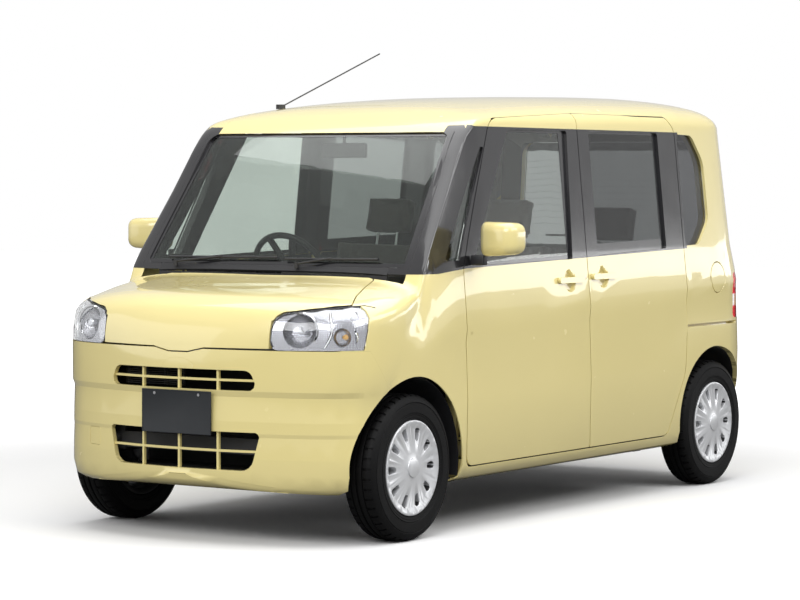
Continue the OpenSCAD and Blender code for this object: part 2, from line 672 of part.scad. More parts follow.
// Front bumper
module bumper_zone(g = 0) side_prism([
    [nose_y - 60, 100, 0], [hub_front_y - 150, 100, 0], [hub_front_y - 184, 612, 10],
        [lamp_back_y - 14, bonnet_edge_z - 10, 10],
    [nose_y - 60, bonnet_edge_z - 10, 0]], g, -1);
grille_upper = [[-352, 586, 25], [352, 586, 25], [318, 662, 36], [-318, 662, 36]];
grille_lower = [[-322, 286, 50], [322, 286, 50], [357, 430, 16], [-357, 430, 16]];
// The towing eye's cover, and the fine groove round a cover or a line on the skin
tow_cover = [[-490, 345, 6], [-424, 345, 6], [-424, 411, 6], [-490, 411, 6]];
groove_w = 2;
groove_t = 3;
module cover_line(outline) intersection() {
    wall(skin_nose_y, skin_nose_y + 160, -2, ledge_depth + groove_t, 4, 7, true);
    difference() {
        front_prism(outline, groove_w);
        front_prism(outline);
    }
}
lip_in = half_w - 172.5;
module front_bumper() color(paint) difference() {
    intersection() {
        union() {
            wall(skin_nose_y, hub_front_y - 140, 0, cover_t, 1, last_k, true);
            end_cap(skin_nose_y, cover_t);
        }
        union() { bumper_zone(); mirror([1, 0, 0]) bumper_zone(); }
        under_edge(-shut_gap);
    }
    front_prism(grille_upper);
    front_prism(grille_lower);
    cover_line(tow_cover);
    left_right() { arches(lip_in); lamp_zone(seat_gap); }
    box([-lip_in - 1, nose_y + 165, 100], [lip_in + 1, hub_front_y, 300]);
}
bar_t = 9;
// A band that follows the nose's plan line, between two depths
module nose_band(d0, d1) {
    near = [for (r = rows) if (r[Y] < skin_nose_y + 120) r];
    n = len(near);
    function plan(d, i, side) = [side * (near[i][SIDE] - d), near[i][Y] * (1 - 2 * d / body_l)];
    function line(d) = concat([for (i = [n - 1:-1:0]) plan(d, i, -1)], [for (i = [0:n - 1]) plan(d, i, 1)]);
    outer = line(d0);
    inner = line(d1);
    polygon(concat(outer, [for (i = [2 * n - 1:-1:0]) inner[i]]));
}
module grille_bars(outline) intersection() {
    translate([0, 0, outline[0][1] - 20]) linear_extrude(200) nose_band(ledge_depth + 3, ledge_depth + 15);
    front_prism(outline, -seat_gap);
    union() {
        for (x = [-178, 0, 178]) box([x - bar_t / 2, nose_y - 50, 200], [x + bar_t / 2, nose_y + 300, 800]);
        translate([-500, nose_y - 50, (outline[0][1] + outline[2][1]) / 2 - bar_t / 2])
            cube([1000, 350, bar_t]);
    }
}
module front_grilles() color(paint) {
    grille_bars(grille_upper);
    grille_bars(grille_lower);
}
plate_w = 330;
plate_h = 165;
plate_z = 497;
plate_hole_x = 105;
plate_hole_r = 3.5;
plate_hole_in = 16;
// A blank number plate lying against y, its two fixing holes near its top edge
module plate(y, z, t) difference() {
    box([-plate_w / 2, y, z - plate_h / 2], [plate_w / 2, y + t, z + plate_h / 2]);
    for (x = [-plate_hole_x, plate_hole_x]) translate([x, y - 1, z + plate_h / 2 - plate_hole_in])
        rotate([-90, 0, 0])
        cylinder(r = plate_hole_r, h = t + 2);
}
module front_plate() color(dark) {
    plate(nose_y, plate_z, 4);
    box([-60, nose_y + 3, plate_z - 30], [60, skin_nose_y - seat_gap, plate_z + 30]);
}

// Rear bumper, tail lamps and tailgate
tail_floor_z = 640;
gate_w = half_w - tail_lamp_w;
gate_top_z = roof_z - 70;
module rear_bumper_zone(g = 0) side_prism([
    [hub_rear_y + 225, 100, 0], [tail_y + 60, 100, 0], [tail_y + 60, tail_floor_z, 0],
        [hub_rear_y + 235, 690, 0]], g, -1);
module rear_bumper() color(paint) difference() {
    intersection() {
        union() {
            wall(hub_rear_y + 200, tail_y, 0, cover_t, 1, last_k, true);
            end_cap(tail_y, -cover_t);
        }
        union() { rear_bumper_zone(); mirror([1, 0, 0]) rear_bumper_zone(); }
    }
    left_right() arches(lip_in);
    box([-lip_in - 1, hub_rear_y, 100], [lip_in + 1, tail_y - 85, 300]);
    gate_zone(shut_gap);
}
gate_outline = [
    [-gate_w + 20, tail_floor_z + shut_gap, 50], [gate_w - 20, tail_floor_z + shut_gap, 50],
        [gate_w, belt_z, 300],
    [gate_w - 55, gate_top_z, 90], [-(gate_w - 55), gate_top_z, 90], [-gate_w, belt_z, 300]
];
module gate_zone(g = 0) difference() {
    front_prism(gate_outline, g, tail_y - 190, tail_y + 60);
    cross_hinge(0, gate_hinge[0], gate_hinge[1], gate_edge_out, 1)
        translate([-300, -400, -800]) cube([600, 400 - gate_edge - g, 1600]);
}
rear_low_w = gate_w - 90;
rear_top_w = gate_w - 128;
rear_window_outline = [
    [-rear_low_w, belt_z + 20, 40], [rear_low_w, belt_z + 20, 40],
    [rear_top_w, cant_z - 35, 60], [-rear_top_w, cant_z - 35, 60]
];
module rear_window_hole(g = 0) front_prism(rear_window_outline, g, tail_y - 180, tail_y + 60);
gate_t = 40;
module tailgate() color(paint) {
    difference() {
        intersection() {
            wall(tail_y - 190, tail_y, 0, gate_t, 2, last_k, true);
            gate_zone();
        }
        rear_window_hole();
        at_gate_hinges() hinge_pocket(50);
    }
    at_gate_hinges() hinge_knuckle();
}
module tailgate_glass() color(glass) intersection() {
    wall(tail_y - 160, tail_y - 14, 8, 8 + glass_t, 7, last_k, true);
    rear_window_hole(-seat_gap);
}
module rear_wiper() color(trim) {
    z = belt_z + 2;
    y = skin_y(z - 14) + seat_gap;
    translate([0, y, z]) rotate([-90, 0, 0]) cylinder(r = 14, h = 13);
    bar([0, y + 7, z + 2], [-200, y + 1, z + 60], 4.5);
    bar([-40, y + 1, z + 60], [-380, y + 1, z + 60], 5);
}
rear_plate_z = 790;
module rear_plate() color("white") {
    y = skin_y(rear_plate_z + plate_h) + 6;
    plate(y, rear_plate_z + plate_h / 2, 4);
    box([-60, skin_y(rear_plate_z + 20) + seat_gap, rear_plate_z + 20], [60, y + 1, rear_plate_z + 40]);
}
tail_lamp_z = belt_z - 300;
module lamp_corner(g = 0) side_prism([
    [tail_y - 205, tail_lamp_z + 4, 20], [tail_y + 20, tail_lamp_z - 3, 0],
        [tail_y + 20, tail_lamp_z + 214, 0],
    [tail_y - 195, tail_lamp_z + 207, 20]], g, gate_w + shut_gap - g);
module tail_lamps() color("red") left_right() intersection() {
    wall(tail_y - 230, tail_y - 20, 1, side_t, side_k, 9);
    lamp_corner();
    box([gate_w + shut_gap, 0, 0], [cut_out, tail_y + 30, 2000]);
}

// Roof
module roof() color(paint) {
    difference() {
        intersection() {
            wall(screen_top_y - 60, tail_y - 60, 0, roof_t, 10, last_k, true);
            roof_zone(ditch_x);
        }
        screen_hole();
        gate_zone(shut_gap);
        ditch(-2, ditch_depth, 0);
        left_right() box([ditch_x - ditch_w - 1, tail_y - 97, 1450], [ditch_x + 1, tail_y, 2000]);
    }
    at_gate_hinges() hinge_lug(80, lug_in);
}
// The strips that fill the ditches between the roof and the body sides
ditch_w = 13;
ditch_depth = 9;
module ditch(d0, d1, g) left_right() intersection() {
    wall(screen_top_y - 60, tail_y - 60, d0, d1, 10);
    box([ditch_x - ditch_w + g, nose_y, 1450], [ditch_x + 1 - g * 4, tail_y, 2000]);
}
module roof_mouldings() color(trim) difference() {
    ditch(2, ditch_depth - seat_gap, seat_gap);
    screen_hole();
    gate_zone(shut_gap);
}
module windscreen() color(glass) intersection() {
    wall(screen_foot_y - 6, screen_top_y + 60, 4, 4 + glass_t, 9, last_k, true);
    screen_hole(-seat_gap);
}
module side_glass() color(glass) left_right() {
    pane(quarter_window, door_rear_y - 20, door_rear_y + 320);
    pane(corner_window, screen_foot_y + 30, door_front_y + 400);
}
cowl_z = screen_foot_z - 98;
module cowl() color(trim) {
    intersection() {
        wall(screen_foot_y + 12, screen_foot_y + 60, 2, 8, 9, last_k, true);
        box([-ditch_x, screen_foot_y, screen_foot_z - 100],
            [ditch_x, screen_foot_y + 60, screen_low_z - seat_gap]);
    }
    box([-ditch_x, screen_foot_y + 15, cowl_z + 10], [ditch_x, screen_foot_y + 21, screen_foot_z + 2]);
    box([-post_in + seat_gap, screen_foot_y - 60, cowl_z], [post_in - seat_gap, post_front_y, cowl_z + 20]);
    at_bonnet_hinges() hinge_lug();
}

// Floor and structure
boot_z = 480;
module floor_pan() color(dark) {
    x = half_w - side_t - 70 - seat_gap;
    box([-x, post_rear_y, floor_z], [x, hub_rear_y - 400, floor_z + floor_t]);
    box([-x, hub_rear_y - 440, floor_z + 5], [x, hub_rear_y - 400, floor_z + 90]);
    w = liner_in - seat_gap;
    box([-w, hub_rear_y - 420, floor_z + 5], [w, hub_rear_y - 400, boot_z + floor_t]);
    box([-w, hub_rear_y - 410, boot_z], [w, tail_y - 70, boot_z + floor_t]);
    jack_pads();
}
// Pads under the sills, where the jack goes
jack_x = half_w - 147.5;
jack_drop = 16;
module jack_pads() left_right() for (y = [hub_front_y + 440, hub_rear_y - 520])
    box([jack_x - 20, y - 30, floor_z - jack_drop], [jack_x + 20, y + 30, floor_z + 1]);
module bulkhead() color(dark) box([-post_in + seat_gap, post_front_y, floor_z],
    [post_in - seat_gap, post_rear_y - seat_gap, cowl_z - seat_gap]);
rail_x = liner_in - 54;
module front_frame() color(dark) {
    left_right() {
        box([rail_x - 30, skin_nose_y + 95, 330], [rail_x + 30, post_front_y - seat_gap, 420]);
        box([rail_x + 20, hub_front_y - 80, 410], [liner_in - seat_gap, hub_front_y + 80, 800]);
        box([rail_x + 20, hub_front_y - 80, 790], [king_low[0], hub_front_y + 80, 802]);
    }
    box([-rail_x - 10, skin_nose_y + 95, 340], [rail_x + 10, skin_nose_y + 135, 400]);
    tow_socket();
}
// The threaded socket for the towing eye, at the front of the right rail
tow_r = 8;
tow_depth = 36;
module tow_socket() translate([-rail_x, skin_nose_y + 70, 375]) rotate([-90, 0, 0]) difference() {
    cylinder(r = 2 * tow_r, h = tow_depth);
    translate([0, 0, -1]) cylinder(r = tow_r, h = tow_depth + 1 - 6);
}
liner_t = 4;
module liner(y) difference() {
    translate([liner_in, y, arch_z]) rotate([0, 90, 0]) cylinder(r = arch_r - seat_gap,
        h = half_w - 7.5 - liner_in, $fn = 96);
    translate([liner_in + liner_t, y, arch_z]) rotate([0, 90, 0])
        cylinder(r = arch_r - seat_gap - liner_t, h = 400, $fn = 96);
    box([300, nose_y, -100], [900, tail_y, skirt_z + 25]);
    box([300, y + (y < 0 ? -400 : 0), -100], [900, y + (y < 0 ? 0 : 400), skirt_z + 112]);
}
// Everything closer than d to the body's plan outline is left out
module within_plan(d) linear_extrude(1000) polygon(concat(
    [for (r = rows) [max(1, r[SIDE] - d), r[Y]]], [for (i = [len(rows) - 1:-1:0]) [-1, rows[i][Y]]]));
module arch_liners() color(trim) left_right() intersection() {
    within_plan(24);
    union() {
        difference() {
            liner(hub_front_y);
            on_king() translate([0, 0, 300]) cylinder(r = 62, h = 400);
        }
        difference() {
            liner(arch_rear_y);
            translate([300, hub_rear_y, hub_z]) rotate([0, 90, 0]) cylinder(r = 60, h = 200);
        }
    }
}

// Running gear
king_low = [track_front / 2 - 62.5, 200];
king_top = [track_front / 2 - 172.5, 800];
king_tilt = atan2(king_low[0] - king_top[0], king_top[1] - king_low[1]);
module on_king() translate([king_low[0], hub_front_y, king_low[1]]) rotate([0, -king_tilt, 0]) children();
module to_side(x, y) translate([x, y, hub_z]) rotate([0, 90, 0]) children();
spindle_r = 28;
spindle_out = 55;
king_r = 9;
fit = 0.05;
module knuckle() color(steel) difference() {
    union() {
        on_king() cylinder(r = 22, h = 330);
        to_side(king_low[0] - 30, hub_front_y) cylinder(r = 36, h = 46);
        to_side(king_low[0], hub_front_y) cylinder(r = spindle_r,
            h = track_front / 2 + spindle_out - king_low[0]);
    }
    on_king() translate([0, 0, -1]) cylinder(r = king_r + fit, h = 40);
    on_king() translate([0, 0, 290]) cylinder(r = king_r + fit, h = 50);
}
module knuckle_left() knuckle();
module knuckle_right() mirror([1, 0, 0]) knuckle();
module front_suspension() color(dark) left_right() {
    on_king() translate([0, 0, 295]) cylinder(r = king_r, h = 302);
    on_king() translate([0, 0, 400]) cylinder(r = 50, h = 170);
    on_king() translate([0, 0, -14]) cylinder(r = king_r, h = 48);
    box([rail_x - 20, hub_front_y - 40, 170], [king_low[0] + 16, hub_front_y + 40, 190]);
    box([rail_x - 20, hub_front_y - 30, 180], [rail_x + 20, hub_front_y + 30, 330 - seat_gap]);
}
module rear_suspension() color(dark) {
    arm_x = liner_in - 4;
    hub_x = track_rear / 2 - 46;
    box([-arm_x, hub_rear_y - 200, 240], [arm_x, hub_rear_y - 130, 300]);
    left_right() {
        box([arm_x - 40, hub_rear_y - 400 + seat_gap, 240], [arm_x, hub_rear_y + 35, 300]);
        to_side(arm_x - 10, hub_rear_y) cylinder(r = 36, h = hub_x - arm_x + 10);
        to_side(hub_x - 10, hub_rear_y) cylinder(r = spindle_r, h = 56 + spindle_out);
        translate([arm_x - 80, hub_rear_y - 165, 290]) cylinder(r = 45, h = boot_z - 290 - seat_gap);
    }
}
module engine() color("gray") {
    block = [-rail_x + 60, rail_x - 90];
    box([block[0], hub_front_y - 230, 260], [block[1], hub_front_y + 190, 730]);
    for (x = [[-rail_x + 30 + seat_gap, block[0] + 1], [block[1] - 1, rail_x - 30 - seat_gap]])
        box([x[0], hub_front_y - 60, 340], [x[1], hub_front_y + 20, 400]);
}
module exhaust() color(steel) {
    y0 = hub_front_y + 150;
    z0 = floor_z - 20 - seat_gap;
    bar([-200, y0, 260 - seat_gap], [-200, y0, z0], 20);
    translate([-200, y0, z0]) sphere(r = 20);
    bar([-200, y0, z0], [-200, tail_y - 60, z0], 20);
    box([24 - liner_in, hub_rear_y + 100, z0 - 10], [-60, hub_rear_y + 270, 320]);
    box([-300, hub_rear_y + 150, 310], [-280, hub_rear_y + 170, boot_z - seat_gap]);
}
module fuel_tank() color(dark) box([-100, hub_rear_y - 900, floor_z - 45],
    [liner_in - 14, hub_rear_y - 450, floor_z - seat_gap]);

bead_h = 12;
hub_back = 42;
// One vent of the wheel cover, seen along the axle
vent_outline = [[106, -10, 9], [156, -17, 12], [156, 17, 12], [106, 10, 9]];
module wheel() color(steel) rotate([0, 90, 0]) difference() {
    union() {
        rotate_extrude() polygon([[0, -hub_back], [50, -hub_back], [56, 22], [150, 34], [rim_r - 24, -58],
            [rim_r - 6, -70], [rim_r, -70],
            [rim_r, -64], [rim_r - bead_h, -56], [rim_r - bead_h, 56], [rim_r, 64], [rim_r, 70],
                [rim_r - 6, 72], [150, 60],
            [60, 71], [0, 71]]);
        translate([0, 0, 62]) cylinder(r = 36, h = 14);
    }
    for (a = [0:36:359]) rotate(a) linear_extrude(100) polygon(rounded(vent_outline));
    translate([0, 0, -50]) cylinder(r = spindle_r + fit, h = 50 + spindle_out + 2);
}
module tyre() color(trim) rotate([0, 90, 0]) rotate_extrude() {
    bead = rim_r - bead_h + seat_gap;
    polygon([[bead, -55], [rim_r + 1, -63], [rim_r + 6, -70], [230, -tyre_w / 2], [256, -tyre_w / 2 + 3],
        [tyre_r - 8, -tyre_w / 2 + 12],
        [tyre_r, -tyre_w / 2 + 26], [tyre_r, tyre_w / 2 - 26], [tyre_r - 8, tyre_w / 2 - 12],
            [256, tyre_w / 2 - 3],
        [230, tyre_w / 2], [rim_r + 6, 70], [rim_r + 1, 63], [bead, 55]]);
}
module at_wheel(front) translate([(front ? track_front : track_rear) / 2,
    front ? hub_front_y : hub_rear_y, hub_z]) children();
module wheel_front_left() at_wheel(true) wheel();
module wheel_front_right() mirror([1, 0, 0]) at_wheel(true) wheel();
module wheel_rear_left() at_wheel(false) wheel();
module wheel_rear_right() mirror([1, 0, 0]) at_wheel(false) wheel();
module tyre_front_left() at_wheel(true) tyre();
module tyre_front_right() mirror([1, 0, 0]) at_wheel(true) tyre();
module tyre_rear_left() at_wheel(false) tyre();
module tyre_rear_right() mirror([1, 0, 0]) at_wheel(false) tyre();

// Cabin
dash_top_z = screen_foot_z - 18;
dash_w = post_in - 10;
dash_rear_y = door_front_y + 210;
module dashboard() color(dark) {
    translate([-dash_w, 0, 0]) rotate([90, 0, 90]) linear_extrude(2 * dash_w) polygon(rounded([
        [post_rear_y + seat_gap, 640, 0], [dash_rear_y - 60, 640, 30], [dash_rear_y, 800, 40],
            [dash_rear_y - 30, dash_top_z, 40],
        [post_rear_y + seat_gap, dash_top_z + 6, 0]]));
    on_column() translate([0, 0, -190]) cylinder(r = 14, h = 176);
}
wheel_mid = [377.5 - half_w, dash_rear_y + 140, 985];
column_tilt = 62;
module on_column() translate(wheel_mid) rotate([-column_tilt, 0, 0]) children();
module steering_wheel() color(trim) {
    on_column() {
        rotate_extrude() translate([176, 0]) circle(r = 13, $fn = 24);
        difference() {
            translate([0, 0, -44]) cylinder(r = 60, h = 50);
            translate([0, 0, -50]) cylinder(r = 14 + fit, h = 38);
        }
        for (a = [0, 180, 250, 290]) rotate(a) translate([50, -14, -12]) cube([122, 28, 14]);
    }
}
seat_in = 50;
seat_out = half_w - 187.5;
seat_w = seat_out - seat_in;
seat_x = (seat_in + seat_out) / 2;
module seat(x) {
    hull() for (a = [-1, 1], b = [0, 1]) translate([x + a * (seat_w / 2 - 40), door_mid_y - 560 + b * 440,
        500]) cylinder(r = 40, h = 100, $fn = 24);
    hull() for (a = [-1, 1], b = [0, 1]) translate([x + a * (seat_w / 2 - 40), door_mid_y - 90, 560])
        rotate([-14, 0, 0])
        translate([0, 0, b * 520]) rotate([90, 0, 0]) cylinder(r = 40, h = 90, $fn = 24);
    translate([x, door_mid_y - 60, 560]) rotate([-14, 0, 0]) {
        box([-115, -110, 580], [115, -20, 740]);
        for (a = [-50, 50]) translate([a, -70, 500]) cylinder(r = 6, h = 100);
    }
    box([x - 190, door_mid_y - 520, floor_z + floor_t + seat_gap], [x + 190, door_mid_y - 150, 510]);
}
module front_seats() color("dimgray") for (x = [-seat_x, seat_x]) seat(x);
module rear_seats() color("dimgray") {
    w = half_w - 177.5;
    box([-w, door_rear_y - 560, boot_z + floor_t + seat_gap], [w, door_rear_y - 80, 600]);
    translate([-w, door_rear_y - 90, 560]) rotate([-14, 0, 0]) cube([2 * w, 80, 520]);
    box([14 - liner_in, door_rear_y - 480, floor_z + floor_t + seat_gap],
        [liner_in - 14, hub_rear_y - 440 - seat_gap, 510]);
    for (x = [-w / 2, w / 2]) translate([x, door_rear_y - 90, 520]) rotate([-14, 0, 0]) {
        box([-110, 10, 580], [110, 90, 740]);
        for (a = [-50, 50]) translate([a, 50, 500]) cylinder(r = 6, h = 100);
    }
}
module interior_mirror() color(trim) {
    box([-112, screen_top_y + 95, 1462], [112, screen_top_y + 115, 1524]);
    bar([0, screen_top_y + 108, 1515], [0, screen_top_y + 108,
        skin_z(0, screen_top_y + 100) - roof_t - 2.5], 7);
}
module wipers() color(trim) {
    rise = (screen_top_z - screen_foot_z) / screen_run;
    y0 = screen_foot_y + 12;
    z0 = screen_foot_z + 21 * rise - 4.5;
    y1 = screen_foot_y + 34;
    z1 = screen_foot_z + 34 * rise + 13;
    for (e = [[86 - ditch_x, 36 - ditch_x, 20], [130, 60, ditch_x - 56]]) {
        translate([e[0], y0, z0]) cylinder(r = 9, h = 24);
        bar([e[0], y0, z0 + 18], [mix(e[1], e[2], 0.5), y1, z1 + 6], 4.5);
        bar([e[1], y1, z1], [e[2], y1 + 4, z1 + 5], 5);
        bar([mix(e[1], e[2], 0.5), y1, z1], [mix(e[1], e[2], 0.5), y1, z1 + 7], 5);
    }
}
antenna_y = screen_top_y + 350;
module antenna() color(trim) {
    x = 56 - ditch_x;
    z = skin_z(-x - 10, antenna_y + 10) + seat_gap;
    translate([x, antenna_y, z]) cylinder(r = 20, h = 19);
    bar([x, antenna_y, z + 8], [x, antenna_y + 753, z + 263], 3);
}
// Door mirror, its outline seen from above
mirror_x = half_w + 30;
mirror_outline = [
    [mirror_x, door_front_y + 74, 14], [mirror_x, door_front_y + 24, 24],
        [mirror_x + 92, door_front_y - 50, 40],
    [mirror_x + 178, door_front_y - 44, 50], [mirror_x + 190, door_front_y + 30, 30],
        [mirror_x + 186, door_front_y + 74, 10]
];
mirror_low_z = belt_z + 27;
mirror_h = 140;
module mirror_shell() hull() for (i = [0:3]) let (inset = 34 * (1 - cos(30 * i)),
    z = mirror_h / 2 * sin([50, 72, 84, 90][i]))
    translate([0, 0, mirror_low_z + mirror_h / 2 - z]) linear_extrude(2 * z)
        polygon(rounded(grown(mirror_outline, -inset * 0.5)));
module mirror_left() color(paint) {
    z = belt_z + 8;
    y = door_front_y + 30;
    box([skin_x(y, z - 14) + seat_gap, y + 8, z - 14], [half_w + 44.5, y + 42, z + 26]);
    difference() {
        mirror_shell();
        // The hollow that the mirror glass sits in
        box([mirror_x + 12, door_front_y + 68, mirror_low_z + 14],
            [mirror_x + 176, door_front_y + 90, mirror_low_z + mirror_h - 14]);
    }
}
module mirror_right() mirror([1, 0, 0]) mirror_left();

floor_pan();
body_side_left();
body_side_right();
fuel_lid();
roof();
roof_mouldings();
cowl();
bulkhead();
front_frame();
arch_liners();
wing_left();
wing_right();
front_bumper();
front_grilles();
front_plate();
headlamps();
headlamp_lenses();
rear_bumper();
tail_lamps();
windscreen();
side_glass();
sliding_door();
sliding_door_glass();
dashboard();
front_seats();
rear_seats();
interior_mirror();
wipers();
antenna();
engine();
exhaust();
fuel_tank();
front_suspension();
rear_suspension();
door_front_left();
glass_front_left();
mirror_left();
door_front_right();
glass_front_right();
mirror_right();
door_rear_right();
glass_rear_right();
tailgate();
tailgate_glass();
rear_wiper();
rear_plate();
bonnet();
steering_wheel();
knuckle_left();
knuckle_right();
wheel_front_left();
tyre_front_left();
wheel_front_right();
tyre_front_right();
wheel_rear_left();
tyre_rear_left();
wheel_rear_right();
tyre_rear_right();
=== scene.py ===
# %% [markdown]
# A tall kei car, dressed for the studio
# The solids of the car come from its CAD model: panels, glass, wheels, seats and hinges, each where it
# belongs. This script gives them their looks. The painted panels are copied and rounded, because CAD builds
# them from flat facets, and the lamps, wheel covers, trim, seats and cabin are modelled piece by piece.

# %% Load the CAD frame
import json
import math

import bmesh
import bpy
from mathutils import Matrix, Vector
from mathutils.bvhtree import BVHTree


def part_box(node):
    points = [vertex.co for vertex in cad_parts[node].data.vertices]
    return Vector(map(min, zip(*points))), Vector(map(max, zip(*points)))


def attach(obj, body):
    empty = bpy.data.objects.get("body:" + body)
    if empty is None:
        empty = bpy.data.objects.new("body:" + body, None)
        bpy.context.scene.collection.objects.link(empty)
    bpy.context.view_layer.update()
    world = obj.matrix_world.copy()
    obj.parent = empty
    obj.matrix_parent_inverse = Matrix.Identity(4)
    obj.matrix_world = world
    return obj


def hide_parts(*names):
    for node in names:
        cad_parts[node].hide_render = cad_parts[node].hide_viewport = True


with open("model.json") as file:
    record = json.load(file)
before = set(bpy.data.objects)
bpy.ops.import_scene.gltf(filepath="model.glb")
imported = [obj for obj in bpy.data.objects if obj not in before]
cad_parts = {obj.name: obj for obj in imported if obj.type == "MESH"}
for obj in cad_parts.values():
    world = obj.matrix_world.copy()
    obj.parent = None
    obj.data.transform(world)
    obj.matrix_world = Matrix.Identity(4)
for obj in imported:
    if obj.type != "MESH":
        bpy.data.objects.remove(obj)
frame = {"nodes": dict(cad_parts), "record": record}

scene = bpy.context.scene
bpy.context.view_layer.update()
nodes = frame["nodes"]

# %% [markdown]
# Measures
# The car is 3395 mm long and 1475 mm wide. X points to its left, Y to its rear and Z up, and everything is
# in metres. The places of the axles, the belt line under the side windows and the windscreen are used again
# and again.

# %% Measures of the car
LENGTH, WIDTH, HEIGHT = 3.395, 1.475, 1.750
HALF = WIDTH / 2
NOSE, TAIL = -LENGTH / 2, LENGTH / 2
SKIN_NOSE = NOSE + 0.008
FRONT_AXLE, REAR_AXLE = NOSE + 0.532, NOSE + 0.532 + 2.490
SCREEN_FOOT, SCREEN_TOP = NOSE + 0.587, NOSE + 0.587 + 0.425
SCREEN_FOOT_Z, SCREEN_TOP_Z = 1.003, 1.577
DOOR_FRONT = FRONT_AXLE + 0.370
DOOR_MID, DOOR_REAR = DOOR_FRONT + 0.970, DOOR_FRONT + 1.828
CANT_Z = 1.590
HUB_Z, FRONT_HUB_X, REAR_HUB_X = 0.281, 0.6525, 0.6475


def belt_at(y):
    """Height of the belt line, the lower edge of the side windows."""
    return 1.048 + 0.024 * y


# %% [markdown]
# Small helpers for edit mode
# Modelling by hand goes: select an object, enter edit mode, select faces or edges, use a tool. In a script
# selecting is done by place or by normal, so these helpers do just that and keep the cells below short.

# %% Helpers for selecting and editing
def only(obj):
    """Selects one object alone and makes it active."""
    if bpy.context.mode != "OBJECT":
        bpy.ops.object.mode_set(mode="OBJECT")
    bpy.ops.object.select_all(action="DESELECT")
    obj.select_set(True)
    bpy.context.view_layer.objects.active = obj
    return obj


def added(name):
    """Names the primitive that was just added."""
    obj = bpy.context.active_object
    obj.name = obj.data.name = name
    return obj


def place(obj):
    """Puts an object's place, turn and scale into its mesh."""
    only(obj)
    bpy.ops.object.transform_apply(location=True, rotation=True, scale=True)
    return obj


def edit(obj, domain="FACE", action="DESELECT"):
    """Enters edit mode with nothing selected, or with everything if the action is SELECT."""
    only(obj)
    bpy.ops.object.mode_set(mode="EDIT")
    bpy.ops.mesh.select_mode(type=domain)
    bpy.ops.mesh.select_all(action=action)


def pick(obj, test):
    """Selects the faces whose middle and normal pass a test."""
    mesh = bmesh.from_edit_mesh(obj.data)
    for face in mesh.faces:
        face.select = bool(test(face.calc_center_median(), face.normal))
    mesh.select_flush_mode()
    bmesh.update_edit_mesh(obj.data)


def done():
    bpy.ops.object.mode_set(mode="OBJECT")


def modifier(obj, kind, **values):
    """Adds one modifier, sets its values and applies it."""
    only(obj)
    m = obj.modifiers.new(kind.lower(), kind)
    for key, value in values.items():
        setattr(m, key, value)
    bpy.ops.object.modifier_apply(modifier=m.name)


def bevelled(obj, width, segments=2, angle=35):
    modifier(obj, "BEVEL", width=width, segments=segments, limit_method="ANGLE",
             angle_limit=math.radians(angle), harden_normals=False, miter_outer="MITER_ARC")
    return obj


def smooth(obj, angle=40):
    only(obj)
    bpy.ops.object.shade_smooth_by_angle(angle=math.radians(angle))
    return obj


def cube(name, low, high):
    """A box from its lowest to its highest corner."""
    bpy.ops.object.select_all(action="DESELECT")
    low, high = Vector(low), Vector(high)
    bpy.ops.mesh.primitive_cube_add(size=1, location=(low + high) / 2, scale=high - low)
    return place(added(name))


def block(name, low, high, radius=0.004, segments=2):
    """A box with rounded edges, as moulded plastic and pressed metal have."""
    return smooth(bevelled(cube(name, low, high), radius, segments), 50)


def linked(name, data):
    """Puts a mesh or a curve into the scene as an object."""
    obj = bpy.data.objects.new(name, data)
    scene.collection.objects.link(obj)
    return obj


AXIS_TURNS = {"X": (0, math.pi / 2, 0), "-X": (0, -math.pi / 2, 0), "Y": (-math.pi / 2, 0, 0),
              "-Y": (math.pi / 2, 0, 0), "Z": (0, 0, 0)}


def turned(name, profile, middle, axis="X", steps=64):
    """A lathed piece. Its profile is a list of (radius, height along the axis), spun about the axis."""
    mesh = bpy.data.meshes.new(name)
    mesh.from_pydata([(r, 0, h) for r, h in profile], [(i, i + 1) for i in range(len(profile) - 1)], [])
    obj = linked(name, mesh)
    edit(obj, "VERT", "SELECT")
    bpy.ops.mesh.spin(steps=steps, angle=math.tau, center=(0, 0, 0), axis=(0, 0, 1))
    bpy.ops.mesh.select_all(action="SELECT")
    bpy.ops.mesh.remove_doubles(threshold=0.00001)
    bpy.ops.mesh.normals_make_consistent(inside=False)
    done()
    obj.rotation_euler = AXIS_TURNS[axis]
    obj.location = middle
    return smooth(place(obj), 40)


def tube(name, points, radius, sides=8):
    """A round bar along a line of points, drawn as a curve and turned into a mesh."""
    curve = bpy.data.curves.new(name, "CURVE")
    curve.dimensions = "3D"
    curve.bevel_depth = radius
    curve.bevel_resolution = max(1, sides // 4)
    curve.use_fill_caps = True
    line = curve.splines.new("POLY")
    line.points.add(len(points) - 1)
    for spot, p in zip(line.points, points):
        spot.co = (*p, 1)
    obj = only(linked(name, curve))
    bpy.ops.object.convert(target="MESH")
    return smooth(obj, 50)


def twin_of(obj, name):
    """A copy of a piece with its own mesh."""
    only(obj)
    bpy.ops.object.duplicate()
    return added(name)


def copied_to(obj, name, shift=(0, 0, 0)):
    """A copy of a piece, moved to another place."""
    twin = twin_of(obj, name)
    bpy.ops.transform.translate(value=shift)
    return place(twin)


def mirrored(obj, name):
    """A copy of a piece on the other side of the car, with its faces turned outwards."""
    twin = twin_of(obj, name)
    bpy.ops.transform.mirror(constraint_axis=(True, False, False), orient_type="GLOBAL",
                             center_override=(0, 0, 0))
    edit(place(twin), action="SELECT")
    bpy.ops.mesh.flip_normals()
    done()
    return twin


def joined(name, pieces):
    only(pieces[0])
    for p in pieces[1:]:
        p.select_set(True)
    bpy.ops.object.join()
    return added(name)


def inset(obj, thickness, sink):
    """Insets the selected faces, sinks what lies inside, and leaves edit mode."""
    bpy.ops.mesh.inset(thickness=thickness)
    bpy.ops.mesh.extrude_region_shrink_fatten(TRANSFORM_OT_shrink_fatten={"value": -sink})
    done()
    return obj


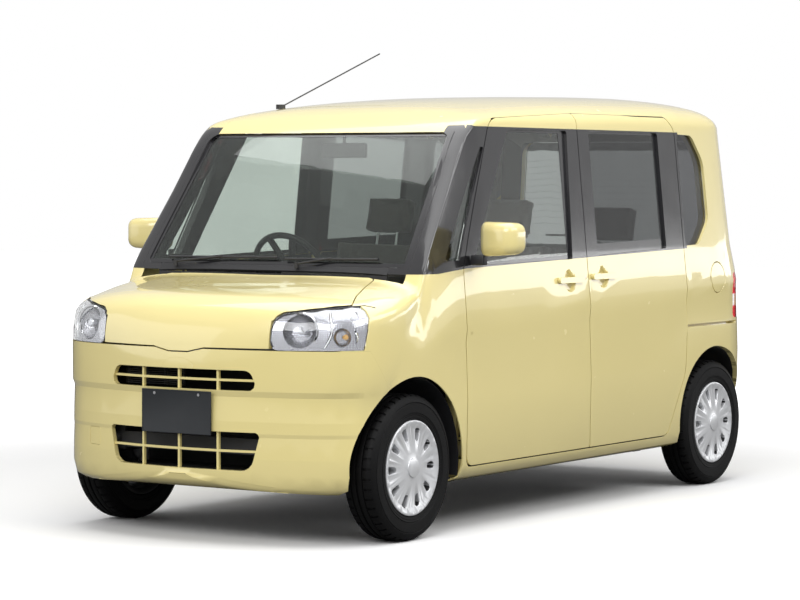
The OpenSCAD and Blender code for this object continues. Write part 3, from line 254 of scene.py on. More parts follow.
def rides(obj, body, slot_name, *stands_for):
    """Attaches a piece to its body, and hides the CAD nodes it stands for. The slot name is not used."""
    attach(obj, body)
    if stands_for:
        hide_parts(*stands_for)
    return obj


def worn(obj, mat, body, slot_name, *stands_for):
    """Gives a piece its one finish, and then its body. The slot name is not used."""
    obj.data.materials.clear()
    obj.data.materials.append(mat)
    return rides(obj, body, slot_name, *stands_for)


def body_of(name):
    """The moving body that a CAD node belongs to."""
    return next(body for body, members in frame["record"]["behaviour"]["bodies"].items() if name in members)


# %% [markdown]
# Finishes
# A finish is a Principled shader with a little life in it: a slow noise that shifts its colour by a few per
# cent, a fine noise as bump for grain, and a noise that spreads its roughness. All patterns read Object
# coordinates.

# %% The finish maker
def shader_node(tree, kind, **values):
    """Adds one shader node, with inputs set by name. An underscore stands for a space."""
    made = tree.nodes.new("ShaderNode" + kind)
    for key, value in values.items():
        made.inputs[key.replace("_", " ")].default_value = value
    return made


def bumped(tree, height, strength):
    """Leads a height into the normal of the finish, on top of the bump it has."""
    shader = tree.nodes["Principled BSDF"]
    bump = shader_node(tree, "Bump", Strength=strength, Distance=0.001)
    tree.links.new(height, bump.inputs["Height"])
    if shader.inputs["Normal"].links:
        tree.links.new(shader.inputs["Normal"].links[0].from_socket, bump.inputs["Normal"])
    tree.links.new(bump.outputs["Normal"], shader.inputs["Normal"])


def finish(name, colour, rough, metal=0.0, coat=0.0, spots=0.04, spot_scale=3.0, grain=0.0, grain_scale=900.0,
           spread=0.05, sheen=0.0):
    """spots shifts the colour, grain roughens the surface, and spread widens the range of roughness."""
    mat = bpy.data.materials.new(name)
    mat.use_nodes = True
    tree = mat.node_tree
    shader = tree.nodes["Principled BSDF"]
    for key, value in (("Metallic", metal), ("Roughness", rough), ("Coat Weight", coat),
                       ("Coat Roughness", 0.03), ("Sheen Weight", sheen)):
        shader.inputs[key].default_value = value
    coords = shader_node(tree, "TexCoord")

    def noise(scale, detail):
        made = shader_node(tree, "TexNoise", Scale=scale, Detail=detail)
        tree.links.new(coords.outputs["Object"], made.inputs["Vector"])
        return made.outputs["Fac"]

    ramp = shader_node(tree, "ValToRGB")
    for stop, spot, share in zip(ramp.color_ramp.elements, (0.35, 0.65), (1 - spots, 1 + spots)):
        stop.position = spot
        stop.color = (*[min(1.0, c * share) for c in colour], 1)
    tree.links.new(noise(spot_scale, 2.0), ramp.inputs["Fac"])
    tree.links.new(ramp.outputs["Color"], shader.inputs["Base Color"])
    if spread:
        span = shader_node(tree, "MapRange", To_Min=max(0.0, rough - spread), To_Max=min(1.0, rough + spread))
        tree.links.new(noise(12.0, 3.0), span.inputs["Value"])
        tree.links.new(span.outputs["Result"], shader.inputs["Roughness"])
    if grain:
        bumped(tree, noise(grain_scale, 2.0), grain)
    return mat


# %% [markdown]
# The car's finishes
# The paint is a soft cream yellow under a clear coat. The band round the side windows is a glossy dark
# film, the seals and the cowl are matt black rubber and plastic, and the wheel covers are satin silver.

# %% Paint, plastic, rubber and metal
paint = finish("cream_paint", (0.830, 0.712, 0.310), 0.26, coat=1.0, spots=0.012, spot_scale=1.5, grain=0.02,
               grain_scale=320, spread=0.03)
film = finish("window_band_film", (0.022, 0.0215, 0.0240), 0.14, coat=0.6, spots=0.06, grain=0.05,
              grain_scale=700)
rubber = finish("seal_rubber", (0.010, 0.010, 0.011), 0.55, grain=0.2, grain_scale=1500)
black = finish("black_plastic", (0.018, 0.018, 0.020), 0.45, grain=0.25, grain_scale=1300)
# Near-black, darker than the black plastic: this finish paints the shade inside the nose, behind the grille
# and under it.
painted_shade_black = finish("near_black_painted_shade", (0.006, 0.006, 0.006), 0.8, grain=0.1)
under = finish("under_paint", (0.02, 0.02, 0.021), 0.6, grain=0.3, grain_scale=500)
silver = finish("wheel_silver", (0.74, 0.75, 0.77), 0.30, metal=0.45, coat=0.3, spots=0.03, grain=0.03)
chrome = finish("lamp_chrome", (0.86, 0.87, 0.89), 0.07, metal=1.0, spots=0.01, spread=0.03)
satin = finish("lamp_satin", (0.45, 0.455, 0.48), 0.24, metal=0.85, spots=0.02)
tyre_side = finish("tyre_rubber", (0.0040, 0.0040, 0.0043), 0.55, grain=0.35, grain_scale=1200, spots=0.15,
                   spot_scale=9)
tyre_side.node_tree.nodes["Principled BSDF"].inputs["Specular IOR Level"].default_value = 0.15
plate_dark = finish("plate_slate", (0.010, 0.0125, 0.0155), 0.6, spots=0.05, grain=0.04)
plate_pale = finish("plate_pale", (0.72, 0.72, 0.70), 0.4, spots=0.02, grain=0.04)
cabin = finish("cabin_plastic", (0.060, 0.052, 0.047), 0.6, grain=0.35, grain_scale=1100, spots=0.06)
lining = finish("roof_lining", (0.30, 0.28, 0.25), 0.9, grain=0.6, grain_scale=1600, sheen=0.2)
carpet = finish("floor_carpet", (0.035, 0.032, 0.030), 0.95, grain=0.9, grain_scale=1800, sheen=0.3)
steel = finish("bare_steel", (0.45, 0.45, 0.46), 0.35, metal=1.0, spots=0.08, spot_scale=20, grain=0.1)
cast = finish("cast_metal", (0.30, 0.30, 0.31), 0.5, metal=0.8, spots=0.1, spot_scale=15, grain=0.5,
              grain_scale=300)
amber = finish("amber_bulb", (0.75, 0.42, 0.10), 0.2, coat=0.5, spots=0.05)
bulb_clear = finish("bulb_glass", (0.85, 0.86, 0.88), 0.1, coat=0.6, spots=0.02)
print_black = finish("glass_print", (0.012, 0.012, 0.014), 0.22, coat=0.8, spots=0.05)
wheel_steel = finish("wheel_steel", (0.022, 0.022, 0.023), 0.5, grain=0.2, grain_scale=600)
mirror_silver = finish("mirror_silver", (0.86, 0.87, 0.88), 0.02, metal=1.0, spots=0.004, spread=0.01)
wire_brown = finish("heating_wire", (0.10, 0.055, 0.035), 0.6, spots=0.05)
seat_cloth = finish("seat_cloth", (0.105, 0.088, 0.075), 0.95, sheen=0.35, grain=0.9, grain_scale=1400,
                    spots=0.10, spot_scale=60)


def weave(mat, scale, strength):
    """Adds the crossed threads of a fabric, or the flutes of a reflector, as bands in the bump."""
    tree = mat.node_tree
    coords = shader_node(tree, "TexCoord")
    mixed = shader_node(tree, "Math")
    mixed.operation = "MULTIPLY"
    for direction, socket in zip("XZ", mixed.inputs):
        wave = shader_node(tree, "TexWave", Scale=scale, Distortion=0.4)
        wave.bands_direction = direction
        tree.links.new(coords.outputs["Object"], wave.inputs["Vector"])
        tree.links.new(wave.outputs["Fac"], socket)
    bumped(tree, mixed.outputs[0], strength)
    return mat


weave(seat_cloth, 260, 0.6)
chrome_flutes = weave(finish("lamp_reflector", (0.30, 0.30, 0.32), 0.12, metal=1.0, spots=0.01, spread=0.03),
                      42, 0.55)


def clear(name, tint, rough=0.0):
    """Glass or a clear lens: a Principled shader that lets the light through."""
    mat = finish(name, tint, rough, spots=0.02, spread=0.0)
    shader = mat.node_tree.nodes["Principled BSDF"]
    shader.inputs["Transmission Weight"].default_value = 1.0
    shader.inputs["IOR"].default_value = 1.45
    return mat


screen_glass = clear("windscreen_glass", (0.46, 0.515, 0.475))
front_glass = clear("clear_glass", (0.74, 0.78, 0.75))
dark_glass = clear("privacy_glass", (0.24, 0.24, 0.25))
lens = clear("lamp_lens", (0.97, 0.98, 0.99))
red_lens = clear("red_lens", (0.72, 0.015, 0.03), rough=0.05)
clear_lens = clear("pale_lens", (0.90, 0.88, 0.88), rough=0.08)
side_tint = clear("side_glass_tint", (0.26, 0.27, 0.27))

# %% [markdown]
# Camera, floor and light
# The photograph was taken with a long lens from the left front corner, a little above the windscreen's
# foot. The camera stands about twelve metres away. Big soft lamps overhead and in front give the broad
# highlights, and a low strip behind the car gives the band along the doors.

# %% Camera, floor and light
bpy.ops.object.select_all(action="DESELECT")
yaw, pitch, roll = math.radians(33.53), math.radians(2.47), math.radians(0.15)
ahead = Vector((-math.sin(yaw) * math.cos(pitch), math.cos(yaw) * math.cos(pitch), -math.sin(pitch)))
side = Vector((math.cos(yaw), math.sin(yaw), 0.0))
above = side.cross(ahead)
right = side * math.cos(roll) + above * math.sin(roll)
upward = above * math.cos(roll) - side * math.sin(roll)
turn = Matrix((right, upward, -ahead)).transposed()
bpy.ops.object.camera_add(location=(6.617, -10.152, 1.376), rotation=turn.to_euler())
camera = added("photo_camera")
camera.data.lens, camera.data.sensor_width, camera.data.shift_y = 127.7, 36.0, 0.0024
scene.camera = camera


def whitened(tree, dim, bright, glossy):
    """A strength that is dim for the light on the car, and bright for the camera, through glass too."""
    rays = shader_node(tree, "LightPath").outputs
    level = None
    for ray, value in (("Is Camera Ray", bright), ("Is Transmission Ray", bright), ("Is Glossy Ray", glossy)):
        step = shader_node(tree, "Math")
        step.operation = "MULTIPLY_ADD"
        tree.links.new(rays[ray], step.inputs[0])
        step.inputs[1].default_value = value - dim
        if level:
            tree.links.new(level, step.inputs[2])
        else:
            step.inputs[2].default_value = dim
        level = step.outputs[0]
    return level


bpy.ops.mesh.primitive_plane_add(size=60, location=(0, 0, 0))
floor = added("studio_floor")
white = finish("studio_white", (0.62, 0.62, 0.62), 0.7, spots=0.004, spread=0.02)
floor.data.materials.append(white)
tree, link = white.node_tree, white.node_tree.links.new
shader = tree.nodes["Principled BSDF"]
seen = whitened(tree, 0.0, 1.0, 0.0)
away = shader_node(tree, "VectorMath")
away.operation = "LENGTH"
link(shader_node(tree, "TexCoord").outputs["Object"], away.inputs[0])
fade = shader_node(tree, "MapRange", From_Min=2.3, From_Max=6.0, To_Max=0.95)
fade.interpolation_type = "SMOOTHSTEP"
link(away.outputs["Value"], fade.inputs["Value"])
lift = shader_node(tree, "Math")
lift.operation = "MULTIPLY"
link(seen, lift.inputs[0])
link(fade.outputs["Result"], lift.inputs[1])
shader.inputs["Emission Color"].default_value = (1.0, 1.0, 1.0, 1)
link(lift.outputs[0], shader.inputs["Emission Strength"])
pale = shader_node(tree, "Mix")
pale.data_type = "RGBA"
pale.inputs["A"].default_value = (0.20, 0.20, 0.20, 1)
pale.inputs["B"].default_value = (0.96, 0.96, 0.96, 1)
link(seen, pale.inputs["Factor"])
link(pale.outputs["Result"], shader.inputs["Base Color"])

scene.world = bpy.data.worlds.new("studio")
scene.world.use_nodes = True
tree = scene.world.node_tree
sky = tree.nodes["Background"]
sky.inputs["Color"].default_value = (1.0, 1.0, 1.0, 1)
tree.links.new(whitened(tree, 0.32, 1.0, 0.62), sky.inputs["Strength"])

LAMPS = [  # name, place, target, size, power
    ("overhead", (0.6, -0.3, 5.4), (0, 0, 0.8), (6.0, 7.0), 305),
    ("front_soft", (1.4, -6.0, 3.6), (0, -1.0, 1.0), (5.0, 2.2), 180),
    ("left_soft", (5.0, 0.2, 3.7), (0, 0.2, 1.1), (6.0, 2.0), 140),
    ("rear_strip", (5.6, 8.2, 1.42), (0.6, 0.6, 1.0), (8.0, 0.7), 58),
    ("right_fill", (-6.0, -6.5, 2.6), (-0.4, -1.5, 0.7), (6.0, 4.0), 80)]
for name, spot, target, size, power in LAMPS:
    bpy.ops.object.light_add(type="AREA", location=spot)
    light = added(name)
    light.data.energy = power
    light.data.shape = "RECTANGLE"
    light.data.size, light.data.size_y = size
    light.rotation_euler = (Vector(target) - Vector(spot)).to_track_quat("-Z", "Y").to_euler()
scene.view_settings.view_transform = "Standard"

# %% [markdown]
# The guide surface
# Real sheet metal is curved all over, but the CAD panels are built from flat facets between cross-sections.
# The cross-sections below are the same as in the CAD source. A fine surface is run smoothly through them.
# It is only a guide: the panels are pulled onto it and take their shading from it, and it is deleted at the
# end.

# %% Cross-sections of the body
NOSE_ROWS = [  # behind the nose, bottom, share of the half width, corner height, corner sharpness, top drop
    (0, 262, 0.109, 640, 2.6, 300), (10, 238, 0.292, 670, 2.6, 222), (36, 219, 0.468, 700, 2.8, 148),
    (72, 208, 0.652, 735, 3.0, 102), (112, 204, 0.783, 765, 3.0, 79), (162, 200, 0.879, 790, 3.0, 63),
    (232, 198, 0.95, 810, 3.0, 51), (312, 197, 0.982, 830, 3.0, 41), (442, 197, 0.997, 860, 3.2, 22)]
SCREEN_ROWS = [  # share of the run, side inset at the cant rail, depth of the corner, sharpness
    (0, 24, 95, 3.6), (0.1, 27, 70, 6), (0.25, 38, 62, 8), (0.6, 60, 60, 8), (1, 80, 50, 7)]
ROOF_ROWS = [  # share of the way to the tail's first section, side inset, sharpness, drop from the top
    (0.042, 79, 4.5, 118), (0.108, 78, 3.2, 76), (0.225, 77, 2.8, 44), (0.412, 77, 2.7, 20),
    (0.655, 77, 2.7, 6), (0.836, 78, 2.7, 0), (0.929, 82, 2.7, 4)]
TAIL_ROWS = [  # ahead of the tail, bottom, insets at side, belt and cant rail, cant drop, top drop
    (247, 200, 2, 32, 92, 0, 16), (177, 202, 11, 47, 112, 0, 34), (127, 206, 25, 69, 140, 0, 55),
    (87, 212, 47, 97, 177, 20, 88), (62, 220, 73, 132, 227, 60, 130), (42, 232, 112, 187, 300, 150, 215),
    (28, 250, 157, 262, 350, 380, 440), (16, 262, 200, 330, 420, 640, 720),
    (7, 272, 270, 400, 460, 955, 1045), (0, 288, 360, 480, 520, 1000, 1110)]


def mix(a, b, share):
    return a + (b - a) * share


def body_rows():
    """All cross-sections in metres: place, bottom, side, belt height and half width, cant rail height and
    half width, sharpness, top."""
    rows = []
    for back, low, wide, corner, sharp, drop in NOSE_ROWS:
        w = HALF * wide
        rows.append([SKIN_NOSE + back / 1000, low / 1000, w, (corner - 60) / 1000, w, corner / 1000,
                     w - 0.001, sharp, SCREEN_FOOT_Z - drop / 1000])
    for share, inset, deep, sharp in SCREEN_ROWS:
        y = SCREEN_FOOT + share * (SCREEN_TOP - SCREEN_FOOT)
        top = SCREEN_FOOT_Z + share * (SCREEN_TOP_Z - SCREEN_FOOT_Z)
        belt = min(belt_at(y), top - deep / 1000 - 0.020)
        rows.append([y, 0.197, HALF, belt, HALF - min(22, inset) / 1000, top - deep / 1000,
                     HALF - inset / 1000, sharp, top])
    for share, inset, sharp, drop in ROOF_ROWS:
        y, top = SCREEN_TOP + share * (TAIL - 0.247 - SCREEN_TOP), HEIGHT - drop / 1000
        rows.append([y, 0.197, HALF, belt_at(y), HALF - 0.024, min(CANT_Z, top - 0.045), HALF - inset / 1000,
                     sharp, top])
    for ahead_of, low, s, b, c, cant_drop, drop in TAIL_ROWS:
        y, cant = TAIL - ahead_of / 1000, CANT_Z - cant_drop / 1000
        rows.append([y, low / 1000, HALF - s / 1000, min(belt_at(y), cant - 0.060), HALF - b / 1000, cant,
                     HALF - c / 1000, 2.8, HEIGHT - drop / 1000])
    return rows


def even_slopes(xs, ys):
    """Slopes for a curve through points that never overshoots them."""
    steps = [(ys[i + 1] - ys[i]) / (xs[i + 1] - xs[i]) for i in range(len(xs) - 1)]
    inner = [0.0 if a * b <= 0 else 2 * a * b / (a + b) for a, b in zip(steps, steps[1:])]
    return [steps[0], *inner, steps[-1]]


TOP_STEPS = 36


def half_section(row):
    """Half of one cross-section, from the bottom centre round to the top centre, as (x, z)."""
    y, low, w, belt_z, belt_w, cant_z, cant_w, sharp, top = row
    ledge = max(0.0, min(1.0, (FRONT_AXLE - 0.100 - y) / 0.080))
    crease = mix(min(0.785 + 0.054 * y, belt_z - 0.090), 0.566, ledge)
    bend = min(0.070, w * 0.5, (crease - low) * 0.45)
    cut = 0.009 * max(0.0, min(1.0, (y - FRONT_AXLE) / 0.3)) + ledge * 0.006
    wide = mix(mix(low, crease, 0.6), 0.430, ledge)
    above_crease = min(crease + mix(0.055, 0.019, ledge), belt_z - 0.004)
    points = [(0, low), (w * 0.5, low), (w - bend, low), (w - bend * 0.3, low + bend * 0.28),
              (w - 0.005, low + bend), (w - ledge * 0.006, wide), (w - cut, crease),
              (mix(w, belt_w, 0.15), above_crease), (belt_w, belt_z)]
    out = [points[0]]
    for a, b in zip(points, points[1:]):
        out += [(mix(a[0], b[0], t), mix(a[1], b[1], t)) for t in (0.5, 1)]
    out.append(((belt_w + cant_w) / 2, (belt_z + cant_z) / 2))
    for i in range(TOP_STEPS + 1):
        angle = math.pi / 2 * i / TOP_STEPS
        out.append((cant_w * max(0.0, math.cos(angle)) ** (2 / sharp),
                    cant_z + (top - cant_z) * math.sin(angle) ** (2 / sharp)))
    return out


def fine_rows(rows):
    """More cross-sections between the given ones, on a smooth curve through each column."""
    steps = 5
    places = [r[0] for r in rows]
    slopes = [even_slopes(places, [r[c] for r in rows]) for c in range(9)]
    for i in range(len(rows) - 1):
        gap = places[i + 1] - places[i]
        for s in range(steps + (i == len(rows) - 2)):
            t = s / steps
            h = ((1 + 2 * t) * (1 - t) ** 2, t * (1 - t) ** 2, t * t * (3 - 2 * t), t * t * (t - 1))
            yield [h[0] * rows[i][c] + h[1] * gap * slopes[c][i]
                   + h[2] * rows[i + 1][c] + h[3] * gap * slopes[c][i + 1] for c in range(9)]


def guide_surface():
    """The fine surface through the cross-sections, as an object."""
    rings = []
    for row in fine_rows(body_rows()):
        half = half_section(row)
        rings.append([Vector((x, row[0], z)) for x, z in half]
                     + [Vector((-x, row[0], z)) for x, z in half[-2:0:-1]])
    n = len(rings[0])
    caps = []
    for ring in (rings[0], rings[-1]):
        middle = sum(ring, Vector()) / n
        caps.append([middle + (p - middle) * 0.05 for p in ring])
    rings = [caps[0], *rings, caps[1]]
    mesh = bpy.data.meshes.new("guide")
    faces = [(i * n + j, i * n + (j + 1) % n, (i + 1) * n + (j + 1) % n, (i + 1) * n + j)
             for i in range(len(rings) - 1) for j in range(n)]
    mesh.from_pydata([p for ring in rings for p in ring], [], faces)
    obj = linked("guide", mesh)
    edit(obj, action="SELECT")
    bpy.ops.mesh.normals_make_consistent(inside=False)
    done()
    return obj


guide = guide_surface()
guide_mesh = guide.data
guide_tree = BVHTree.FromPolygons([v.co for v in guide_mesh.vertices],
                                  [p.vertices for p in guide_mesh.polygons])
guide_normals = [v.normal.copy() for v in guide_mesh.vertices]
print("guide surface", len(guide_mesh.polygons), "faces")


def on_guide(point):
    """The nearest point of the guide surface, its smooth normal there, and how deep the point lies inside."""
    spot, flat, index, gap = guide_tree.find_nearest(point)
    corners = guide_mesh.polygons[index].vertices
    weights = [1.0 / (1e-6 + (guide_mesh.vertices[c].co - spot).length_squared) for c in corners]
    normal = Vector()
    for c, w in zip(corners, weights):
        normal += guide_normals[c] * w
    normal.normalize()
    return spot, normal, (spot - Vector(point)).dot(flat)


# %% [markdown]
# Painted panels
# Each painted panel is a copy of its CAD node. Its loose triangles are merged, the outer faces are split
# where they are too flat for the curve and pulled onto the guide surface, and the outside takes its shading
# from the guide, so reflections run smoothly across the panel and on into its neighbours.

# %% Helpers for panels
OUTER_DEPTH = 0.009   # a face nearer to the guide than this can be an outer one
SHORTEST = 0.025      # shorter edges aren't split
FLAT, PULL = 0.0006, 0.012  # edges that lie this deep, at least and at most, are split and pulled out
PASSES = 3


def copied(node, name):
    """A merged copy of a CAD node that can be reshaped."""
    obj = linked(name, nodes[node].data.copy())
    obj.data.materials.clear()
    edit(obj, "VERT", "SELECT")
    bpy.ops.mesh.remove_doubles(threshold=0.00002)
    done()
    return obj


def has_outer(faces):
    """Whether one of the faces lies along the guide surface and looks outwards."""
    for face in faces:
        middle = face.calc_center_median()
        spot, smooth_normal, inside = on_guide(middle)
        if (abs(inside) < OUTER_DEPTH and (spot - middle).length < OUTER_DEPTH * 2
                and face.normal.dot(smooth_normal) > 0.75):
            return True
    return False


def rounded_out(obj):
    """Splits the outer edges that cut across the curve, and pulls the outside onto the guide surface."""
    for step in range(PASSES):
        edit(obj, "EDGE")
        mesh = bmesh.from_edit_mesh(obj.data)
        chosen = 0
        for e in mesh.edges:
            e.select = False
            if e.calc_length() < SHORTEST or not has_outer(e.link_faces):
                continue
            inside = on_guide((e.verts[0].co + e.verts[1].co) / 2)[2]
            ends = max(abs(on_guide(v.co)[2]) for v in e.verts)
            if ends < 0.003 and FLAT < abs(inside) < PULL:
                e.select = True
                chosen += 1
        bmesh.update_edit_mesh(obj.data)
        if chosen:
            bpy.ops.mesh.subdivide(number_cuts=1)
            mesh = bmesh.from_edit_mesh(obj.data)
            bmesh.ops.triangulate(mesh, faces=[f for f in mesh.faces if len(f.verts) > 4])
            for v in mesh.verts:
                spot, _, inside = on_guide(v.co)
                if abs(inside) < PULL and has_outer(v.link_faces):
                    v.co = spot
            bmesh.update_edit_mesh(obj.data)
        done()
        if not chosen:
            break


LEDGES = [(0.262, 0.0), (0.330, 0.0), (0.412, 0.0035), (0.426, 0.0005), (0.470, 0.0010), (0.562, 0.0065),
          (0.584, 0.0), (0.70, 0.0)]  # height, depth


def frontal(normal):
    """How far a face looks to the front, from 0 at the corners of the bumper to 1."""
    return min(1.0, max(0.0, (-normal.y - 0.3) / 0.5))


def ledge_at(z):
    """Depth of the bumper's two ledges at a height, and how fast it changes there."""
    for (z0, d0), (z1, d1) in zip(LEDGES, LEDGES[1:]):
        if z0 <= z < z1:
            return d0 + (d1 - d0) * (z - z0) / (z1 - z0), (d1 - d0) / (z1 - z0)
    return 0.0, 0.0


def ledged(obj):
    """Presses the ledges into the front face of the bumper, between cuts at each height."""
    for z, _ in LEDGES[1:-1]:
        cut_across(obj, (0, 0, z), (0, 0, 1))
    for v in obj.data.vertices:
        _, normal, inside = on_guide(v.co)
        if abs(inside) < 0.004 and normal.y < -0.3:
            v.co.y += ledge_at(v.co.z - 0.0001)[0] * frontal(normal)


def guided_shading(obj, ledge=False):
    """Gives the faces along the guide surface, outside and inside, its smooth normals."""
    mesh = smooth(obj, 25).data
    normals = [Vector(c.vector) for c in mesh.corner_normals]
    for face in mesh.polygons:
        _, normal, inside = on_guide(face.center)
        facing = face.normal.dot(normal)
        if abs(facing) < 0.8 or not -0.02 < inside < 0.06:
            continue
        tilt = ledge_at(face.center.z)[1] * frontal(normal) if ledge else 0.0
        for loop in face.loop_indices:
            n = (on_guide(mesh.vertices[mesh.loops[loop].vertex_index].co)[1]
                 + Vector((0, 0, tilt))).normalized()
            normals[loop] = n if facing > 0 else -n
    mesh.normals_split_custom_set(normals)


def cut_across(obj, point, normal):
    """Cuts the whole mesh along a plane, so that a colour can stop there."""
    edit(obj, action="SELECT")
    bpy.ops.mesh.bisect(plane_co=point, plane_no=normal)
    done()


print("helpers ready")

# %% The painted panels
BAND_TOP = 1.588
BAND_REAR = DOOR_REAR + 0.034
PILLAR_SLOPE = 0.079
PANELS = ["body_side_left", "body_side_right", "roof", "wing_left", "wing_right", "bonnet", "front_bumper",
          "rear_bumper", "tailgate", "sliding_door", "door_front_left", "door_front_right", "door_rear_right",
          "fuel_lid", "roof_mouldings"]
BANDED = [node for node in PANELS if node.startswith(("body_side", "sliding", "door"))]
BARE_INSIDE = ["bonnet", "front_bumper", "rear_bumper"]
BAND_CUTS = [((0, 0, belt_at(0)), (0, -0.024, 1)), ((0, 0, BAND_TOP), (0, 0, 1)),
             ((0, BAND_REAR, 0), (0, 1, 0)),
             ((0, DOOR_FRONT, belt_at(DOOR_FRONT) - 0.001), (0, -PILLAR_SLOPE, 1))]


def in_band(middle):
    """The dark film goes round the side windows, from the belt line to the door tops."""
    foot = belt_at(max(middle.y, DOOR_FRONT)) - 0.001 + PILLAR_SLOPE * min(0.0, middle.y - DOOR_FRONT)
    return foot < middle.z < BAND_TOP and abs(middle.x) > 0.5 and middle.y < BAND_REAR


def dressed(obj, node):
    """Paint outside, film round the windows, and cabin trim on the inside."""
    for mat in (paint, film, cabin, lining):
        obj.data.materials.append(mat)
    lining_foot = 1.06 if node.startswith("body_side") else 1.55
    for face in obj.data.polygons:
        _, normal, inside = on_guide(face.center)
        if node in BANDED and in_band(face.center):
            face.material_index = 1
        elif face.normal.dot(normal) < -0.5 and inside > 0.012 and node not in BARE_INSIDE:
            face.material_index = 3 if face.center.z > lining_foot else 2


for node in PANELS:
    obj = copied(node, "panel_" + node)
    if node in BANDED:
        for point, normal in BAND_CUTS:
            cut_across(obj, point, normal)
    rounded_out(obj)
    if node == "front_bumper":
        ledged(obj)
    dressed(obj, node)
    guided_shading(obj, node == "front_bumper")
    rides(obj, body_of(node), "body_paint", node)
    print(node, len(obj.data.polygons), "faces")

# %% The bumper's chin
chin = twin_of(guide, "bumper_chin")
edit(chin)
pick(chin, lambda co, n: not (SKIN_NOSE < co.y < SKIN_NOSE + 0.155 and n.z < -0.25 and abs(co.x) < 0.40
                              and co.z < 0.275))
bpy.ops.mesh.delete(type="FACE")
done()
modifier(chin, "SOLIDIFY", thickness=0.0022, offset=-1.0)
worn(smooth(chin, 60), paint, "body", "body_paint")
print("chin", len(chin.data.polygons), "faces")

# %% [markdown]
# Glass
# The panes are copies of their CAD nodes too. Real car glass has a black printed border that hides the glue
# and the seal, so each pane but the side glass is cut along that border's inner edge and its rim gets the
# black finish. The side glass is clear ahead of the car's middle and dark behind it. The cutting planes look
# outwards, and what lies beyond one of them is rim.

# %% Panes with their black borders
GLASS = {"windscreen": screen_glass, "glass_front_left": front_glass, "glass_front_right": front_glass,
         "side_glass": dark_glass, "sliding_door_glass": side_tint, "glass_rear_right": side_tint,
         "tailgate_glass": side_tint}
FRONT_RIM = [((0, DOOR_MID - 0.142, 0), (0, 1, 0)), ((0, 0, belt_at(0) + 0.016), (0, 0.024, -1)),
             ((0, 0, 1.568), (0, 0, 1))]
REAR_RIM = [((0, DOOR_REAR - 0.182, 0), (0, 1, 0)), ((0, 0, belt_at(0) + 0.052), (0, 0.024, -1)),
            ((0, 0, 1.572), (0, 0, 1)), ((0, DOOR_MID + 0.100, 0), (0, -1, 0))]
slope = Vector((0.6445 - 0.597, 0, 1.564 - 1.013)).normalized()
SCREEN_RIM = [((0, 0, 1.548), (0, 0, 1)), ((0, 0, 1.052), (0, 0, -1)),
              ((0.618, 0, 1.013), (slope.z, 0, slope.x)), ((-0.618, 0, 1.013), (-slope.z, 0, slope.x))]
TAIL_RIM = [((0, 0, 1.515), (0, 0, 1)), ((0.53, 0, 1.3), (1, 0, 0.1)), ((-0.53, 0, 1.3), (-1, 0, 0.1))]
RIMS = {"windscreen": SCREEN_RIM, "glass_front_left": FRONT_RIM, "glass_front_right": FRONT_RIM,
        "sliding_door_glass": REAR_RIM, "glass_rear_right": REAR_RIM, "tailgate_glass": TAIL_RIM}
for node, mat in GLASS.items():
    obj = copied(node, "pane_" + node)
    obj.data.materials.append(mat)
    obj.data.materials.append(front_glass if node == "side_glass" else print_black)
    planes = RIMS.get(node, [])
    for point, normal in planes:
        cut_across(obj, point, normal)
    for face in obj.data.polygons:
        if node == "side_glass":
            face.material_index = int(face.center.y < 0)
        elif any((face.center - Vector(point)).dot(Vector(normal)) > 0 for point, normal in planes):
            face.material_index = 1
    guided_shading(obj)
    rides(obj, body_of(node), "front_glass" if mat in (front_glass, screen_glass) else "dark_glass", node)
print("panes", len(GLASS))

# %% [markdown]
# Finding places on the skin
# Trim, lamps and wires sit at a known place seen from the front, the back or the side. A ray sent from
# there meets the guide surface, and that gives the missing coordinate.

# %% Rays onto the skin
def skin_front(x, z, deep=0.0):
    spot = guide_tree.ray_cast(Vector((x, -3, z)), Vector((0, 1, 0)))[0]
    return Vector((x, spot.y + deep, z))


def skin_rear(x, z, deep=0.0):
    spot = guide_tree.ray_cast(Vector((x, 3, z)), Vector((0, -1, 0)))[0]
    return Vector((x, spot.y - deep, z))


def skin_side(y, z):
    return guide_tree.ray_cast(Vector((3, y, z)), Vector((-1, 0, 0)))[0]


print("nose", [round(v, 3) for v in skin_front(0.0, 0.6)])

# %% [markdown]
# Headlamps
# Behind the clear lens lies a bright housing with a big fluted main reflector, a small oval unit above and
# a round one with an amber bulb below. The housing and the lens come from the CAD model. The bulb shield,
# the rings and the curved divider are added in the dishes, on the left first, and then mirrored to the
# right.

# %% Headlamps
housing = copied("headlamps", "lamp_housing")
guided_shading(housing)
worn(smooth(housing, 40), chrome_flutes, "body", "mirror_face", "headlamps")
lamp_cover = copied("headlamp_lenses", "lamp_cover")
guided_shading(lamp_cover)
worn(lamp_cover, lens, "body", "lamp_glass", "headlamp_lenses")


def ring_depth(x, z, radius):
    """The place along Y where a ring of that radius lies just behind the lens all round."""
    return max(skin_front(x + radius * math.cos(a * 0.7), z + radius * math.sin(a * 0.7)).y
               for a in range(-2, 5)) + 0.006


